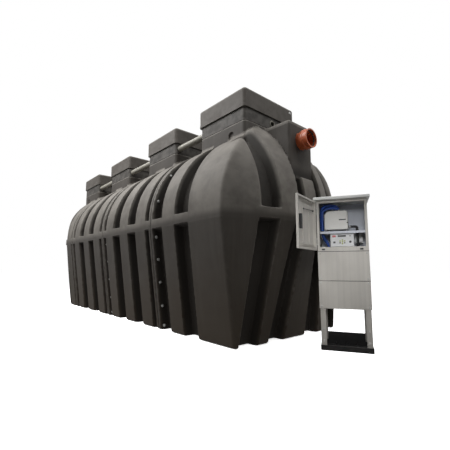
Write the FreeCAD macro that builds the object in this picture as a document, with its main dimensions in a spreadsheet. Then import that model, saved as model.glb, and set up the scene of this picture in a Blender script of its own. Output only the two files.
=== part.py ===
import FreeCAD, Part
import math
import os
import re

import Sketcher

Vector = FreeCAD.Vector

# Driving sizes, in millimetres and degrees: name, value, what it is
SIZES = (
    ("module_pitch", 1400, "middle tank module, from flange joint to flange joint"),
    ("base_half_width", 750, "half width of the tank at the ground"),
    ("belt_half_width", 890, "half width of the tank at the belt"),
    ("belt_low", 1066, "height of the belt's lower edge"),
    ("belt_height", 112, "height of the belt"),
    ("groove_depth", 100, "depth of the grooves between the hoop ribs"),
    ("tank_wall", 12, "wall of the moulded tank"),
    ("flange_plate", 41, "width of one module's flange"),
    ("gasket_thickness", 6, "gasket between two flanges"),
    ("gasket_setback", 8, "depth of the gasket's edge below the flange rim"),
    ("rib_width", 250, "hoop rib of a middle module"),
    ("rib_gap", 201, "groove between two hoop ribs of a middle module"),
    ("inlet_flange_groove", 194, "groove beside the flange of the inlet end"),
    ("inlet_rib", 244, "hoop rib of the inlet end"),
    ("inlet_groove", 222, "groove between the hoop rib and the smooth panel of the inlet end"),
    ("inlet_corner", 1190, "inlet end, from the joint to the edge of the smooth panel"),
    ("inlet_shoulder", 1345, "inlet end, from the joint to the edge between corner and end facets"),
    ("inlet_shoulder_side", 585, "inlet end, half distance between those edges at the belt"),
    ("inlet_shoulder_foot", 686, "inlet end, half distance between those edges at the ground"),
    ("inlet_brow", 1462, "inlet end, from the joint to the flat middle of the end, at the belt"),
    ("inlet_foot", 1230, "inlet end, from the joint to the foot of the end"),
    ("outlet_flange_groove", 36, "groove beside the flange of the outlet end"),
    ("outlet_rib", 250, "hoop rib of the outlet end"),
    ("outlet_groove", 120, "groove between the hoop rib and the smooth panel of the outlet end"),
    ("outlet_corner", 400, "outlet end, from the joint to the edge of the side facet"),
    ("outlet_shoulder", 1000, "outlet end, from the joint to the edge between the facets"),
    ("outlet_shoulder_side", 540, "outlet end, half distance between those edges at the belt"),
    ("outlet_shoulder_foot", 560, "outlet end, half distance between those edges at the ground"),
    ("outlet_brow", 1240, "outlet end, from the joint to the flat middle of the end"),
    ("outlet_foot", 1030, "outlet end, from the joint to the foot of the end"),
    ("corner_field_foot", 26, "corner field's edge at the ground, out from the edge between the facets"),
    ("brow_half_width", 180, "half width of the flat middle of an end"),
    ("end_crown_radius", 1170, "crown radius of the end facets above the belt"),
    ("corner_crown_radius", 1650, "crown radius of the corner facets above the belt"),
    ("crown_side_groove", 480, "upper end groove, outer edge from the middle plane"),
    ("crown_rib_outer", 380, "upper end rib, outer edge from the middle plane"),
    ("crown_rib_inner", 180, "upper end rib, inner edge from the middle plane"),
    ("crown_panel", 95, "half width of the middle panel above the belt"),
    ("skirt_rib_outer", 400, "lower end rib at the belt, outer edge"),
    ("skirt_rib_inner", 224, "lower end rib at the belt, inner edge"),
    ("foot_rib_outer", 510, "lower end rib at the ground, outer edge"),
    ("foot_rib_inner", 375, "lower end rib at the ground, inner edge"),
    ("foot_panel", 165, "half width of the middle panel at the ground"),
    ("turret_length", 735, "turret along the tank"),
    ("turret_width", 775, "turret across the tank"),
    ("turret_corner", 40, "rounding of the turret's upright corners"),
    ("neck_rise", 78, "turret neck, from the crown's top to the riser"),
    ("riser_height", 137, "riser between neck and lid"),
    ("lid_lap", 16, "lid's faces, out from the riser's"),
    ("lid_height", 206, "height of the lid"),
    ("lid_edge", 28, "rounding of the lid's top edges"),
    ("lid_bead", 34, "radius of the bead along the lid's back edge"),
    ("lid_bead_inset", 8, "bead's middle, in from the lid's back face"),
    ("bead_end", 34, "bead's ends, in from the lid's sides"),
    ("turret_shift", 20, "middle turrets, towards the inlet from the module's middle"),
    ("inlet_turret", 597, "inlet turret, from the joint to its middle"),
    ("outlet_turret", 651, "outlet turret, from the joint to its middle"),
    ("recess_width", 60, "lifting recess in the necks of the end turrets"),
    ("recess_depth", 8, "depth of the lifting recess"),
    ("recess_drop", 114, "lifting recess's middle, down from the riser"),
    ("recess_shift", 163, "lifting recess, from the turret's middle"),
    ("conduit_diameter", 75, "pipe between two risers"),
    ("conduit_wall", 4, "wall of that pipe"),
    ("conduit_offset", 320, "pipe's axis from the tank's middle plane"),
    ("port_radius", 30, "round port in the inlet riser"),
    ("port_offset", 35, "port's axis from the middle plane"),
    ("port_rim", 7, "width and height of the port's rim"),
    ("pipe_box_half_width", 182, "half width of the moulded pipe box"),
    ("pipe_box_lift", 320, "pipe box's lower edge above the belt"),
    ("pipe_box_brow_drop", 77, "pipe box's roof at the front, down from the riser"),
    ("pipe_box_crown_drop", 31, "pipe box's roof at the turret, down from the riser"),
    ("inlet_box_front", 1354, "inlet pipe box, from the joint to its front"),
    ("outlet_box_front", 1150, "outlet pipe box, from the joint to its front"),
    ("inlet_drop", 258, "inlet's axis, down from the riser"),
    ("outlet_drop", 311, "outlet's axis, down from the riser"),
    ("pipe_bore", 80.5, "inner radius of the pipe sockets"),
    ("pipe_radius", 86, "outer radius of the pipe behind the socket"),
    ("socket_radius", 93.5, "outer radius of the socket"),
    ("bead_radius", 97.5, "outer radius of the seal bead"),
    ("neck_length", 52, "pipe from the box to the seal bead"),
    ("bead_length", 26, "length of the seal bead"),
    ("collar_length", 45, "socket in front of the seal bead"),
    ("cabinet_gap", 351, "cabinet's front base middle, out from the inlet end"),
    ("cabinet_y", -125, "cabinet's front base middle, across the tank"),
    ("cabinet_turn", 28.5, "cabinet's turn about the vertical"),
    ("cabinet_width", 392, "cabinet's width"),
    ("cabinet_depth", 250, "cabinet's depth"),
    ("panel_wall", 4, "wall of the cabinet's panels"),
    ("foot_height", 40, "height of the base frame"),
    ("foot_bar", 30, "width of the base frame's bars"),
    ("foot_upstand", 110, "height of the base frame's rear plate"),
    ("upstand_thickness", 10, "thickness of that plate"),
    ("grate_lift", 10, "base grate's underside above the ground"),
    ("slat_width", 34, "width of the base grate's slats"),
    ("slat_thickness", 10, "thickness of those slats"),
    ("rod_width", 7, "width of the base grate's rods"),
    ("leg_height", 287, "open height of the legs"),
    ("leg_width", 42, "width of a leg's two flanges"),
    ("leg_inset", 6, "legs, in from the panels' faces"),
    ("lower_panel_height", 221, "height of the lower plinth"),
    ("upper_panel_height", 238, "height of the upper plinth"),
    ("housing_height", 426, "height of the equipment housing"),
    ("frame_width", 20, "width of the door frame's stiles"),
    ("frame_depth", 18, "depth of the door frame"),
    ("rail_height", 37, "height of the door frame's lower rail"),
    ("roof_lip", 25, "height of the roof's front lip"),
    ("roof_rise", 53, "rise of the roof from front to back"),
    ("roof_overhang", 22, "roof's overhang at the front and sides"),
    ("shelf_height", 165, "shelf above the housing's floor"),
    ("shelf_lip", 20, "height of the shelf's front lip"),
    ("shelf_setback", 26, "shelf, back from the front"),
    ("blower_gap", 54, "blower, in from the housing's left wall"),
    ("blower_width", 189, "blower's width"),
    ("blower_height", 161, "blower's height"),
    ("blower_depth", 150, "blower's depth"),
    ("blower_setback", 46, "blower, back from the front"),
    ("blower_chamfer", 34, "bevel of the blower's upper edges"),
    ("blower_edge", 9, "rounding of the blower's front"),
    ("blower_foot_radius", 11, "radius of the blower's rubber feet"),
    ("blower_foot_height", 15, "height of the blower's rubber feet"),
    ("controller_gap", 19, "controller, in from the blower's outlet hose"),
    ("controller_width", 185, "controller's width"),
    ("controller_height", 124, "controller's height"),
    ("controller_depth", 90, "controller's depth"),
    ("controller_setback", 52, "controller, back from the front"),
    ("junction_gap", 26, "junction box, in from the housing's right wall"),
    ("junction_width", 70, "junction box's width"),
    ("junction_height", 86, "junction box's height"),
    ("junction_depth", 84, "junction box's depth"),
    ("air_hose_radius", 13, "radius of the blue air hose"),
    ("outlet_hose_radius", 11.5, "radius of the blower's outlet hose"),
    ("small_hose_radius", 6.5, "radius of the small hose at the left wall"),
    ("hose_play", 1, "clearance of the hoses in the shelf"),
    ("outlet_lift", 28, "blower's outlet above the foot of its case"),
    ("arch_gap", 21, "air hose's axis from the blower's side"),
    ("arch_setback", 39, "air hose's axis, back from the blower's front"),
    ("arch_rise", 36, "air hose's arch above the blower"),
    ("arch_span", 117, "air hose's inlet, in from the blower's left face"),
    ("arch_lean", 26, "air hose's inlet, back from its rise"),
    ("loop_gap", 2, "air hose's foot, out from the controller's left face"),
    ("loop_lean", 60, "air hose's foot, back from its rise"),
    ("loop_foot", 62, "air hose's lower bend above the housing's floor"),
    ("loop_head", 118, "air hose's upper bend above the housing's floor"),
    ("small_hose_gap", 16, "small hose's axis from the housing's left wall"),
    ("small_hose_bulge", 18, "small hose's bend, out from its ends"),
    ("small_hose_stub", 30, "straight ends of the small hose"),
    ("small_hose_setback", 48, "small hose, back from the front"),
    ("door_gap", 6, "gap between the closed door and the frame"),
    ("door_thickness", 18, "thickness of the door"),
    ("door_skin", 3, "skin of the door"),
    ("door_rim", 16, "width of the door's folded rim"),
    ("door_margin", 3, "door's edges, in from the housing's outline"),
    ("door_drop", 8, "door's lower edge above the housing's foot"),
    ("door_open", 105, "angle of the open door"),
    ("hinge_reach", 11, "hinge axis, out from the door's edge"),
    ("hinge_radius", 7, "radius of the hinge barrels"),
    ("hinge_pin", 3, "radius of the hinge pins"),
    ("hinge_play", 0.05, "running clearance of the hinge pins"),
    ("hinge_length", 40, "length of a hinge barrel"),
    ("hinge_ear", 6, "thickness of the ears that hold a hinge pin"),
    ("hinge_gap", 1, "gap between ears and barrel"),
    ("hinge_inset", 55, "hinges, in from the door's upper and lower edges"),
    ("latch_width", 24, "width of the door's latch"),
    ("latch_height", 112, "height of the door's latch"),
    ("latch_depth", 26, "depth of the door's latch"),
    ("latch_inset", 34, "latch, in from the door's free edge"),
)

ALIASES = {name for name, _, _ in SIZES}
BELT_TOP = "(belt_low + belt_height)"
INNER = "(groove_depth + tank_wall)"
SEAM = f"({BELT_TOP} + belt_half_width + neck_rise)"
LID_FOOT = f"({SEAM} + riser_height)"
LID_LENGTH = "(turret_length + 2*lid_lap)"
LID_WIDTH = "(turret_width + 2*lid_lap)"
DUCT = f"({SEAM} + riser_height/2)"
PIPE_BOX_FOOT = f"({BELT_TOP} + pipe_box_lift)"
CABINET_X = "(module_pitch/2 + inlet_brow + cabinet_gap)"
LOWER_PLINTH = "(foot_height + leg_height)"
UPPER_PLINTH = f"({LOWER_PLINTH} + lower_panel_height)"
HOUSING = f"({UPPER_PLINTH} + upper_panel_height)"
ROOF = f"({HOUSING} + housing_height)"
SHELF = f"({HOUSING} + shelf_height)"
LEFT_WALL = "(panel_wall - cabinet_width/2)"
RIGHT_WALL = "(cabinet_width/2 - panel_wall)"
BLOWER_LEFT = f"({LEFT_WALL} + blower_gap)"
BLOWER_RIGHT = f"({BLOWER_LEFT} + blower_width)"
OUTLET_X = f"(({BLOWER_RIGHT} + {RIGHT_WALL})/2)"
OUTLET_Y = "(blower_setback + blower_depth/2)"
CONTROLLER_LEFT = f"({OUTLET_X} - outlet_hose_radius - controller_gap - controller_width)"
ARCH_X = f"({BLOWER_LEFT} - arch_gap)"
ARCH_Y = "(blower_setback + arch_setback)"
DOOR_LOW = f"({HOUSING} + door_drop)"
DOOR_HEIGHT = "(housing_height - 2*door_drop)"
LOWER_HINGE = f"({DOOR_LOW} + hinge_inset)"
UPPER_HINGE = f"({DOOR_LOW} + {DOOR_HEIGHT} - hinge_inset - hinge_length)"
HINGE_X = "(door_margin - hinge_reach - cabinet_width/2)"
HINGE_Y = "(-door_gap - door_thickness/2)"
FAR = 3000.0
TURRETS = 4

doc = FreeCAD.newDocument("sewage_treatment_plant")
sheet = doc.addObject("Spreadsheet::Sheet", "Sizes")
for row, (alias, value, note) in enumerate(SIZES, start=1):
    sheet.set(f"A{row}", note)
    sheet.set(f"B{row}", str(value))
    sheet.setAlias(f"B{row}", alias)
doc.recompute()

subparts = []


def expression(formula):
    """A formula in the sheet's names, as an expression that any object can read."""
    return re.sub(r"[a-z_]+", lambda word: f"Sizes.{word[0]}" if word[0] in ALIASES else word[0], formula)


def size(formula):
    """The value of a formula in the sheet's names."""
    return float(sheet.evalExpression(formula))


def bind(item, **formulas):
    """Tie properties to the sheet; two underscores stand for a dot."""
    for name, formula in formulas.items():
        item.setExpression(name.replace("__", "."), expression(formula))


def keep(item, label):
    """Name a finished sub-part."""
    item.Label = label
    subparts.append(item)
    return item


def cabinet_placement():
    """Where the cabinet's own frame stands: x to its right, y to its back."""
    turn = FreeCAD.Rotation(Vector(0, 0, 1), size("cabinet_turn"))
    return FreeCAD.Placement(Vector(size(CABINET_X), size("cabinet_y"), 0), turn)


def form(name, shape, placement=None):
    """An object that holds a shape made from the sheet's sizes."""
    item = doc.addObject("Part::Feature", name)
    item.Shape = shape
    if placement is not None:
        item.Placement = placement
    return item


# Sketches

def origin_feature(body, role):
    return next(item for item in body.Origin.OriginFeatures if item.Role == role)


def new_sketch(body, name, role, offset="0"):
    """An empty sketch on one of the body's origin planes, set off along the plane's normal."""
    sketch = body.newObject("Sketcher::SketchObject", name)
    sketch.AttachmentSupport = [(origin_feature(body, role), "")]
    sketch.MapMode = "FlatFace"
    bind(sketch, AttachmentOffset__Base__z=offset)
    return sketch


def add_loop(sketch, corners):
    """A closed outline. A corner is (x, y) or (x, y, centre), where an arc about centre leads on."""
    places = [Vector(size(corner[0]), size(corner[1]), 0) for corner in corners]
    first = sketch.GeometryCount
    for index, corner in enumerate(corners):
        start = places[index]
        end = places[(index + 1) % len(corners)]
        if len(corner) == 2:
            sketch.addGeometry(Part.LineSegment(start, end), False)
            continue
        centre = Vector(size(corner[2][0]), size(corner[2][1]), 0)
        angles = [math.atan2(place.y - centre.y, place.x - centre.x) for place in (start, end)]
        if angles[1] < angles[0]:
            angles[1] += 2 * math.pi
        circle = Part.Circle(centre, Vector(0, 0, 1), (start - centre).Length)
        sketch.addGeometry(Part.ArcOfCircle(circle, *angles), False)
    for index, corner in enumerate(corners):
        segment = first + index
        following = first + (index + 1) % len(corners)
        sketch.addConstraint(Sketcher.Constraint("Coincident", segment, 2, following, 1))
        fix_point(sketch, segment, 1, places[index], corner, ("X", "Y"))
        if len(corner) == 3:
            chord = places[(index + 1) % len(corners)] - places[index]
            across = "X" if abs(chord.x) < abs(chord.y) else "Y"
            centre = Vector(size(corner[2][0]), size(corner[2][1]), 0)
            fix_point(sketch, segment, 3, centre, corner[2], (across,))


def fix_point(sketch, segment, point, place, formulas, directions):
    """Dimensions from the sketch's origin to a point, tied to formulas."""
    for direction in directions:
        value = place.x if direction == "X" else place.y
        formula = formulas[0] if direction == "X" else formulas[1]
        constraint = Sketcher.Constraint(f"Distance{direction}", -1, 1, segment, point, value)
        number = sketch.addConstraint(constraint)
        name = f"{direction.lower()}{segment}_{point}"
        sketch.renameConstraint(number, name)
        sketch.setExpression(f"Constraints.{name}", expression(formula))


def rectangle(length, width, middle="0", side="0"):
    """Corners of a rectangle about a middle point."""
    left, right = f"{middle} - ({length})/2", f"{middle} + ({length})/2"
    low, high = f"{side} - ({width})/2", f"{side} + ({width})/2"
    return [(left, low), (right, low), (right, high), (left, high)]


def rounded_rectangle(length, width, radius, middle="0"):
    """Corners of a rectangle with round corners."""
    left, right = f"{middle} - ({length})/2", f"{middle} + ({length})/2"
    low, high = f"-({width})/2", f"({width})/2"
    return [
        (f"{left} + {radius}", low),
        (f"{right} - {radius}", low, (f"{right} - {radius}", f"{low} + {radius}")),
        (right, f"{low} + {radius}"),
        (right, f"{high} - {radius}", (f"{right} - {radius}", f"{high} - {radius}")),
        (f"{right} - {radius}", high),
        (f"{left} + {radius}", high, (f"{left} + {radius}", f"{high} - {radius}")),
        (left, f"{high} - {radius}"),
        (left, f"{low} + {radius}", (f"{left} + {radius}", f"{low} + {radius}")),
    ]


def hoop(inset, floor="0"):
    """Cross-section of the tank: tapered skirt, upright belt and round crown, set in by a distance."""
    base = f"(base_half_width - {inset})"
    belt = f"(belt_half_width - {inset})"
    return [
        (f"-{base}", floor),
        (base, floor),
        (belt, "belt_low"),
        (belt, BELT_TOP, ("0", BELT_TOP)),
        (f"-{belt}", BELT_TOP),
        (f"-{belt}", "belt_low"),
    ]


def pad(body, name, sketch, length, symmetric=False):
    feature = body.newObject("PartDesign::Pad", name)
    feature.Profile = sketch
    if symmetric:
        feature.SideType = "Symmetric"
    bind(feature, Length=length)
    return feature


def pocket(body, name, sketch, length, symmetric=False, reverse=False):
    feature = body.newObject("PartDesign::Pocket", name)
    feature.Profile = sketch
    feature.Reversed = reverse
    if symmetric:
        feature.SideType = "Symmetric"
    bind(feature, Length=length)
    return feature


def repeat(body, name, feature, length, count):
    """Repeat a feature along the body's x axis."""
    pattern = body.newObject("PartDesign::LinearPattern", name)
    pattern.Originals = [feature]
    pattern.Direction = (origin_feature(body, "X_Axis"), [""])
    pattern.Occurrences = count
    bind(pattern, Length=length)
    body.Tip = pattern
    return pattern


# Tank: middle modules

def middle_module(number, place):
    """A hoop-ribbed ring with a flange at each end and the neck of a turret."""
    body = doc.addObject("PartDesign::Body", f"MiddleModule{number}")
    length = "(module_pitch - gasket_thickness)"
    core = new_sketch(body, f"GrooveHoop{number}", "YZ_Plane")
    add_loop(core, hoop("groove_depth"))
    pad(body, f"GrooveRing{number}", core, length, symmetric=True)

    rib = new_sketch(body, f"RibHoop{number}", "YZ_Plane", "-(rib_width + rib_gap)")
    add_loop(rib, hoop("0"))
    first_rib = pad(body, f"Rib{number}", rib, "rib_width", symmetric=True)
    repeat(body, f"Ribs{number}", first_rib, "2*(rib_width + rib_gap)", 3)

    flange = new_sketch(body, f"FlangeHoop{number}", "YZ_Plane", f"-{length}/2 + flange_plate/2")
    add_loop(flange, hoop("0"))
    first_flange = pad(body, f"Flange{number}", flange, "flange_plate", symmetric=True)
    repeat(body, f"Flanges{number}", first_flange, f"{length} - flange_plate", 2)

    belt = new_sketch(body, f"BeltOutline{number}", "YZ_Plane")
    add_loop(belt, rectangle("2*belt_half_width", "belt_height", side="(belt_low + belt_height/2)"))
    pad(body, f"Belt{number}", belt, length, symmetric=True)

    neck = new_sketch(body, f"NeckOutline{number}", "XY_Plane", BELT_TOP)
    add_loop(neck, rounded_rectangle("turret_length", "turret_width", "turret_corner", "turret_shift"))
    pad(body, f"Neck{number}", neck, f"{SEAM} - {BELT_TOP}")

    inside = new_sketch(body, f"InsideHoop{number}", "YZ_Plane")
    add_loop(inside, hoop(INNER, "tank_wall"))
    pocket(body, f"Inside{number}", inside, f"{length} + 2*flange_plate", symmetric=True)

    opening = new_sketch(body, f"NeckOpening{number}", "XY_Plane", BELT_TOP)
    corner = "(turret_corner - tank_wall)"
    span = ("(turret_length - 2*tank_wall)", "(turret_width - 2*tank_wall)")
    add_loop(opening, rounded_rectangle(*span, corner, "turret_shift"))
    pocket(body, f"NeckPassage{number}", opening, f"{SEAM} - {BELT_TOP}", reverse=True)
    bind(body, Placement__Base__x=place)
    return keep(body, f"middle_module_{number}")


# Tank: end modules

class End:
    """The sizes of one tank end, measured outward from its flange joint."""

    def __init__(self, name):
        self.name = name
        self.corner = size(f"{name}_corner")
        self.shoulder = size(f"{name}_shoulder")
        self.shoulder_side = size(f"{name}_shoulder_side")
        self.shoulder_foot = size(f"{name}_shoulder_foot")
        self.brow = size(f"{name}_brow")
        self.foot = size(f"{name}_foot")
        self.start = size("gasket_thickness/2")
        self.flange_end = self.start + size("flange_plate")
        self.rib_start = self.flange_end + size(f"{name}_flange_groove")
        self.rib_end = self.rib_start + size(f"{name}_rib")
        self.panel_start = self.rib_end + size(f"{name}_groove")
        self.turret = size(f"{name}_turret")
        self.turret_face = self.turret + size("turret_length")/2
        self.box_front = size(f"{name}_box_front")
        self.pipe_height = size(f"{SEAM} - {name}_drop")


def mirrored_plan(half):
    """A whole outline in plan from the half that lies at +y, from the joint to the middle."""
    return [Vector(point.x, -point.y, 0) for point in half] + half[::-1]


def ground_plan(end, inset, start):
    """An end's outline at the ground, set in by a distance."""
    side = size("base_half_width") - inset
    foot = end.foot - inset
    return mirrored_plan([
        Vector(start, side, 0),
        Vector(end.corner - inset, side, 0),
        Vector(foot, end.shoulder_foot - inset, 0),
        Vector(foot, size("brow_half_width"), 0),
    ])


def belt_plan(end, inset, start):
    """An end's outline at the belt, with each edge set in by a distance except the one at the joint."""
    side = size("belt_half_width")
    points = mirrored_plan([
        Vector(start, side, 0),
        Vector(end.corner, side, 0),
        Vector(end.shoulder, end.shoulder_side, 0),
        Vector(end.brow, size("brow_half_width"), 0),
    ])
    lines = []
    for first, second in zip(points, points[1:]):
        along = (second - first).normalize()
        normal = Vector(along.y, -along.x, 0)
        lines.append((normal, normal.dot(first) - inset))
    moved = []
    for (one, reach_one), (two, reach_two) in zip(lines, lines[1:]):
        cross = one.x*two.y - one.y*two.x
        x = (reach_one*two.y - reach_two*one.y)/cross
        y = (one.x*reach_two - two.x*reach_one)/cross
        moved.append(Vector(x, y, 0))
    return [Vector(start, inset - side, 0)] + moved + [Vector(start, side - inset, 0)]


def level_wire(points, height):
    """A closed outline at a height."""
    lifted = [Vector(point.x, point.y, height) for point in points]
    return Part.makePolygon(lifted + lifted[:1])


def crowned_prism(first, second, radius, low, top):
    """All that lies behind one facet: upright to the belt's top, then rolled over by a crown radius."""
    along = (second - first).normalize()
    normal = Vector(along.y, -along.x, 0)
    foot = normal*normal.dot(first)
    up = Vector(0, 0, 1)
    centre = foot - normal*radius + up*top
    bend = centre + (normal + up)*(radius*math.sqrt(0.5))
    back = foot - normal*FAR
    corners = [back + up*low, foot + up*low, foot + up*top, centre + up*radius, back + up*(top + radius)]
    edges = [
        Part.makeLine(corners[0], corners[1]),
        Part.makeLine(corners[1], corners[2]),
        Part.Arc(corners[2], bend, corners[3]).toShape(),
        Part.makeLine(corners[3], corners[4]),
        Part.makeLine(corners[4], corners[0]),
    ]
    face = Part.Face(Part.Wire(edges))
    face.translate(along*(-FAR))
    return face.extrude(along*(2*FAR))


def end_form(end, inset, start, floor):
    """The form of an end, set in by a distance: a tapered skirt and a faceted crown."""
    belt_low = size("belt_low")
    belt_top = size(BELT_TOP)
    belt = belt_plan(end, inset, start)
    ground = ground_plan(end, inset, start)
    lift = floor/belt_low
    base = [low + (high - low)*lift for low, high in zip(ground, belt)]
    skirt = Part.makeLoft([level_wire(base, floor), level_wire(belt, belt_low)], True, True)
    side = size("belt_half_width") - inset
    corner = size("corner_crown_radius") - inset
    front = size("end_crown_radius") - inset
    radii = [side, corner, front, front, front, corner, side]
    crown = Part.makeBox(FAR, 2*FAR, FAR, Vector(start, -FAR, belt_low))
    for index, radius in enumerate(radii):
        crown = crown.common(crowned_prism(belt[index], belt[index + 1], radius, belt_low, belt_top))
    return skirt.fuse(crown).removeSplitter()


def strip(outline, start):
    """A bar along x whose cross-section is an outline in y and z."""
    points = [Vector(start, y, z) for y, z in outline]
    face = Part.Face(Part.makePolygon(points + points[:1]))
    return face.extrude(Vector(FAR, 0, 0))


def end_ribs(end):
    """Bars that hold the raised fields of an end: corner fields, ribs and the middle panel."""
    low = size("belt_low")
    top = size(BELT_TOP)
    crest = FAR
    corner_field = [
        (end.shoulder_foot + size("corner_field_foot"), 0),
        (end.shoulder_side, low),
        (size("crown_side_groove"), top),
        (size("crown_side_groove"), crest),
        (FAR, crest),
        (FAR, 0),
    ]
    rib = [
        (size("foot_rib_inner"), 0),
        (size("skirt_rib_inner"), low),
        (size("crown_rib_inner"), top),
        (size("crown_rib_inner"), crest),
        (size("crown_rib_outer"), crest),
        (size("crown_rib_outer"), top),
        (size("skirt_rib_outer"), low),
        (size("foot_rib_outer"), 0),
    ]
    foot = size("foot_panel")
    panel = size("crown_panel")
    middle = [(-foot, 0), (-panel, low), (-panel, crest), (panel, crest), (panel, low), (foot, 0)]
    outlines = [middle]
    for outline in (corner_field, rib):
        outlines.append(outline)
        outlines.append([(-y, z) for y, z in outline])
    return [strip(outline, end.turret_face) for outline in outlines]


def slab(start, stop):
    """All that lies between two cross planes."""
    return Part.makeBox(stop - start, 2*FAR, FAR, Vector(start, -FAR, 0))


def neck_block(end, inset, low, high):
    """The upright block of a turret's neck, with round corners."""
    length = size("turret_length") - 2*inset
    width = size("turret_width") - 2*inset
    block = Part.makeBox(length, width, high - low, Vector(end.turret - length/2, -width/2, low))
    uprights = [edge for edge in block.Edges if abs(edge.tangentAt(edge.FirstParameter).z) > 0.5]
    return block.makeFillet(size("turret_corner") - inset, uprights)


def lifting_recesses(end):
    """Shallow square pockets in both long sides of a neck."""
    width = size("recess_width")
    depth = size("recess_depth")
    side = size("turret_width")/2
    x = end.turret + size("recess_shift") - width/2
    z = size(f"{SEAM} - recess_drop") - width/2
    return [Part.makeBox(width, depth, width, Vector(x, y, z)) for y in (-side, side - depth)]


def pipe_box_block(end, inset, start, front):
    """The pipe box with its sloping roof, set in by a distance on its sides, foot and top."""
    half = size("pipe_box_half_width") - inset
    foot = size(PIPE_BOX_FOOT) + inset
    outline = [
        Vector(start, -half, foot),
        Vector(front, -half, foot),
        Vector(front, -half, size(f"{SEAM} - pipe_box_brow_drop") - inset),
        Vector(start, -half, size(f"{SEAM} - pipe_box_crown_drop") - inset),
    ]
    face = Part.Face(Part.makePolygon(outline + outline[:1]))
    return face.extrude(Vector(0, 2*half, 0))


def end_module(end, placement):
    """A ribbed, domed tank end with its flange, belt and turret neck, and a cut for its pipe box."""
    wall = size("tank_wall")
    groove = size("groove_depth")
    full = end_form(end, 0, end.start, 0)
    fields = [
        slab(end.start, end.flange_end),
        slab(end.rib_start, end.rib_end),
        slab(end.panel_start, end.turret_face),
        Part.makeBox(FAR, 2*FAR, size("belt_height"), Vector(end.start, -FAR, size("belt_low"))),
    ]
    half = size("pipe_box_half_width")
    box_cut = Part.makeBox(FAR, 2*half, FAR, Vector(end.turret_face, -half, size(PIPE_BOX_FOOT)))
    raised = [full.common(field).cut(box_cut) for field in fields + end_ribs(end)]
    neck = neck_block(end, 0, size(BELT_TOP), size(SEAM))
    outside = end_form(end, groove, end.start, 0).cut(box_cut).multiFuse(raised + [neck])
    inside = end_form(end, groove + wall, end.start - wall, wall)
    passage = neck_block(end, wall, size(BELT_TOP), size(SEAM) + wall)
    pipe_way = pipe_box_block(end, wall, end.turret_face - wall, end.turret_face)
    shell = outside
    for tool in [inside, passage, pipe_way] + lifting_recesses(end):
        shell = shell.cut(tool)
    shell = shell.removeSplitter()
    return keep(form(f"{end.name}EndModule", shell, placement), f"{end.name}_end_module")


def pipe_box(end, placement):
    """The moulded box round the pipe's passage: front, sides, foot and roof, open towards the tank."""
    wall = size("tank_wall")
    outer = pipe_box_block(end, 0, end.turret_face, end.box_front)
    inner = pipe_box_block(end, wall, end.turret_face, end.box_front - wall)
    inside = end_form(end, size(INNER), end.start, wall)
    axis = Vector(end.box_front - 2*wall, 0, end.pipe_height)
    hole = Part.makeCylinder(size("pipe_radius"), 3*wall, axis, Vector(1, 0, 0))
    shell = outer.cut(inside).cut(inner).cut(hole).removeSplitter()
    return keep(form(f"{end.name}Box", shell, placement), f"{end.name}_box")


def pipe_socket(end, placement):
    """A pipe end with a seal bead and a socket, turned about its axis."""
    body = doc.addObject("PartDesign::Body", f"{end.name}Socket")
    sketch = new_sketch(body, f"{end.name}SocketProfile", "XZ_Plane")
    bead = "neck_length"
    collar = "neck_length + bead_length"
    mouth = "neck_length + bead_length + collar_length"
    corners = [
        ("-tank_wall", "pipe_bore"),
        (mouth, "pipe_bore"),
        (mouth, "socket_radius"),
        (collar, "socket_radius"),
        (collar, "bead_radius"),
        (bead, "bead_radius"),
        (bead, "pipe_radius"),
        ("-tank_wall", "pipe_radius"),
    ]
    add_loop(sketch, corners)
    turned = body.newObject("PartDesign::Revolution", f"{end.name}SocketTurn")
    turned.Profile = sketch
    turned.ReferenceAxis = (origin_feature(body, "X_Axis"), [""])
    turned.Angle = 360
    seat = FreeCAD.Placement(Vector(end.box_front, 0, end.pipe_height), FreeCAD.Rotation())
    body.Placement = placement.multiply(seat)
    return keep(body, f"{end.name}_socket")


def flange_gasket(number, place):
    """A thin ring between two flanges."""
    body = doc.addObject("PartDesign::Body", f"FlangeGasket{number}")
    sketch = new_sketch(body, f"GasketRing{number}", "YZ_Plane")
    add_loop(sketch, hoop("gasket_setback"))
    add_loop(sketch, hoop(INNER, "tank_wall"))
    pad(body, f"Gasket{number}", sketch, "gasket_thickness", symmetric=True)
    bind(body, Placement__Base__x=place)
    return keep(body, f"flange_gasket_{number}")


# Turrets

def turret_riser(number, place):
    """The frame between a turret's neck and its lid."""
    body = doc.addObject("PartDesign::Body", f"TurretRiser{number}")
    sketch = new_sketch(body, f"RiserOutline{number}", "XY_Plane", SEAM)
    add_loop(sketch, rounded_rectangle("turret_length", "turret_width", "turret_corner"))
    span = ("(turret_length - 2*tank_wall)", "(turret_width - 2*tank_wall)")
    add_loop(sketch, rounded_rectangle(*span, "(turret_corner - tank_wall)"))
    pad(body, f"Riser{number}", sketch, "riser_height")
    duct = ("-conduit_offset", "conduit_diameter/2")
    if number == 1:
        add_hole(body, "PortSeat", "turret_length/2", False, "port_offset", "port_radius + port_rim")
    else:
        add_hole(body, f"InletDuct{number}", "turret_length/2", False, *duct)
    if number < TURRETS:
        add_hole(body, f"OutletDuct{number}", "-turret_length/2", True, *duct)
    bind(body, Placement__Base__x=place)
    return keep(body, f"turret_riser_{number}")


def circle_loop(sketch, x, y, radius):
    """A circle whose middle and radius follow formulas."""
    place = Vector(size(x), size(y), 0)
    segment = sketch.addGeometry(Part.Circle(place, Vector(0, 0, 1), size(radius)), False)
    fix_point(sketch, segment, 3, place, (x, y), ("X", "Y"))
    number = sketch.addConstraint(Sketcher.Constraint("Radius", segment, size(radius)))
    sketch.renameConstraint(number, f"r{segment}")
    sketch.setExpression(f"Constraints.r{segment}", expression(radius))


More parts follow.
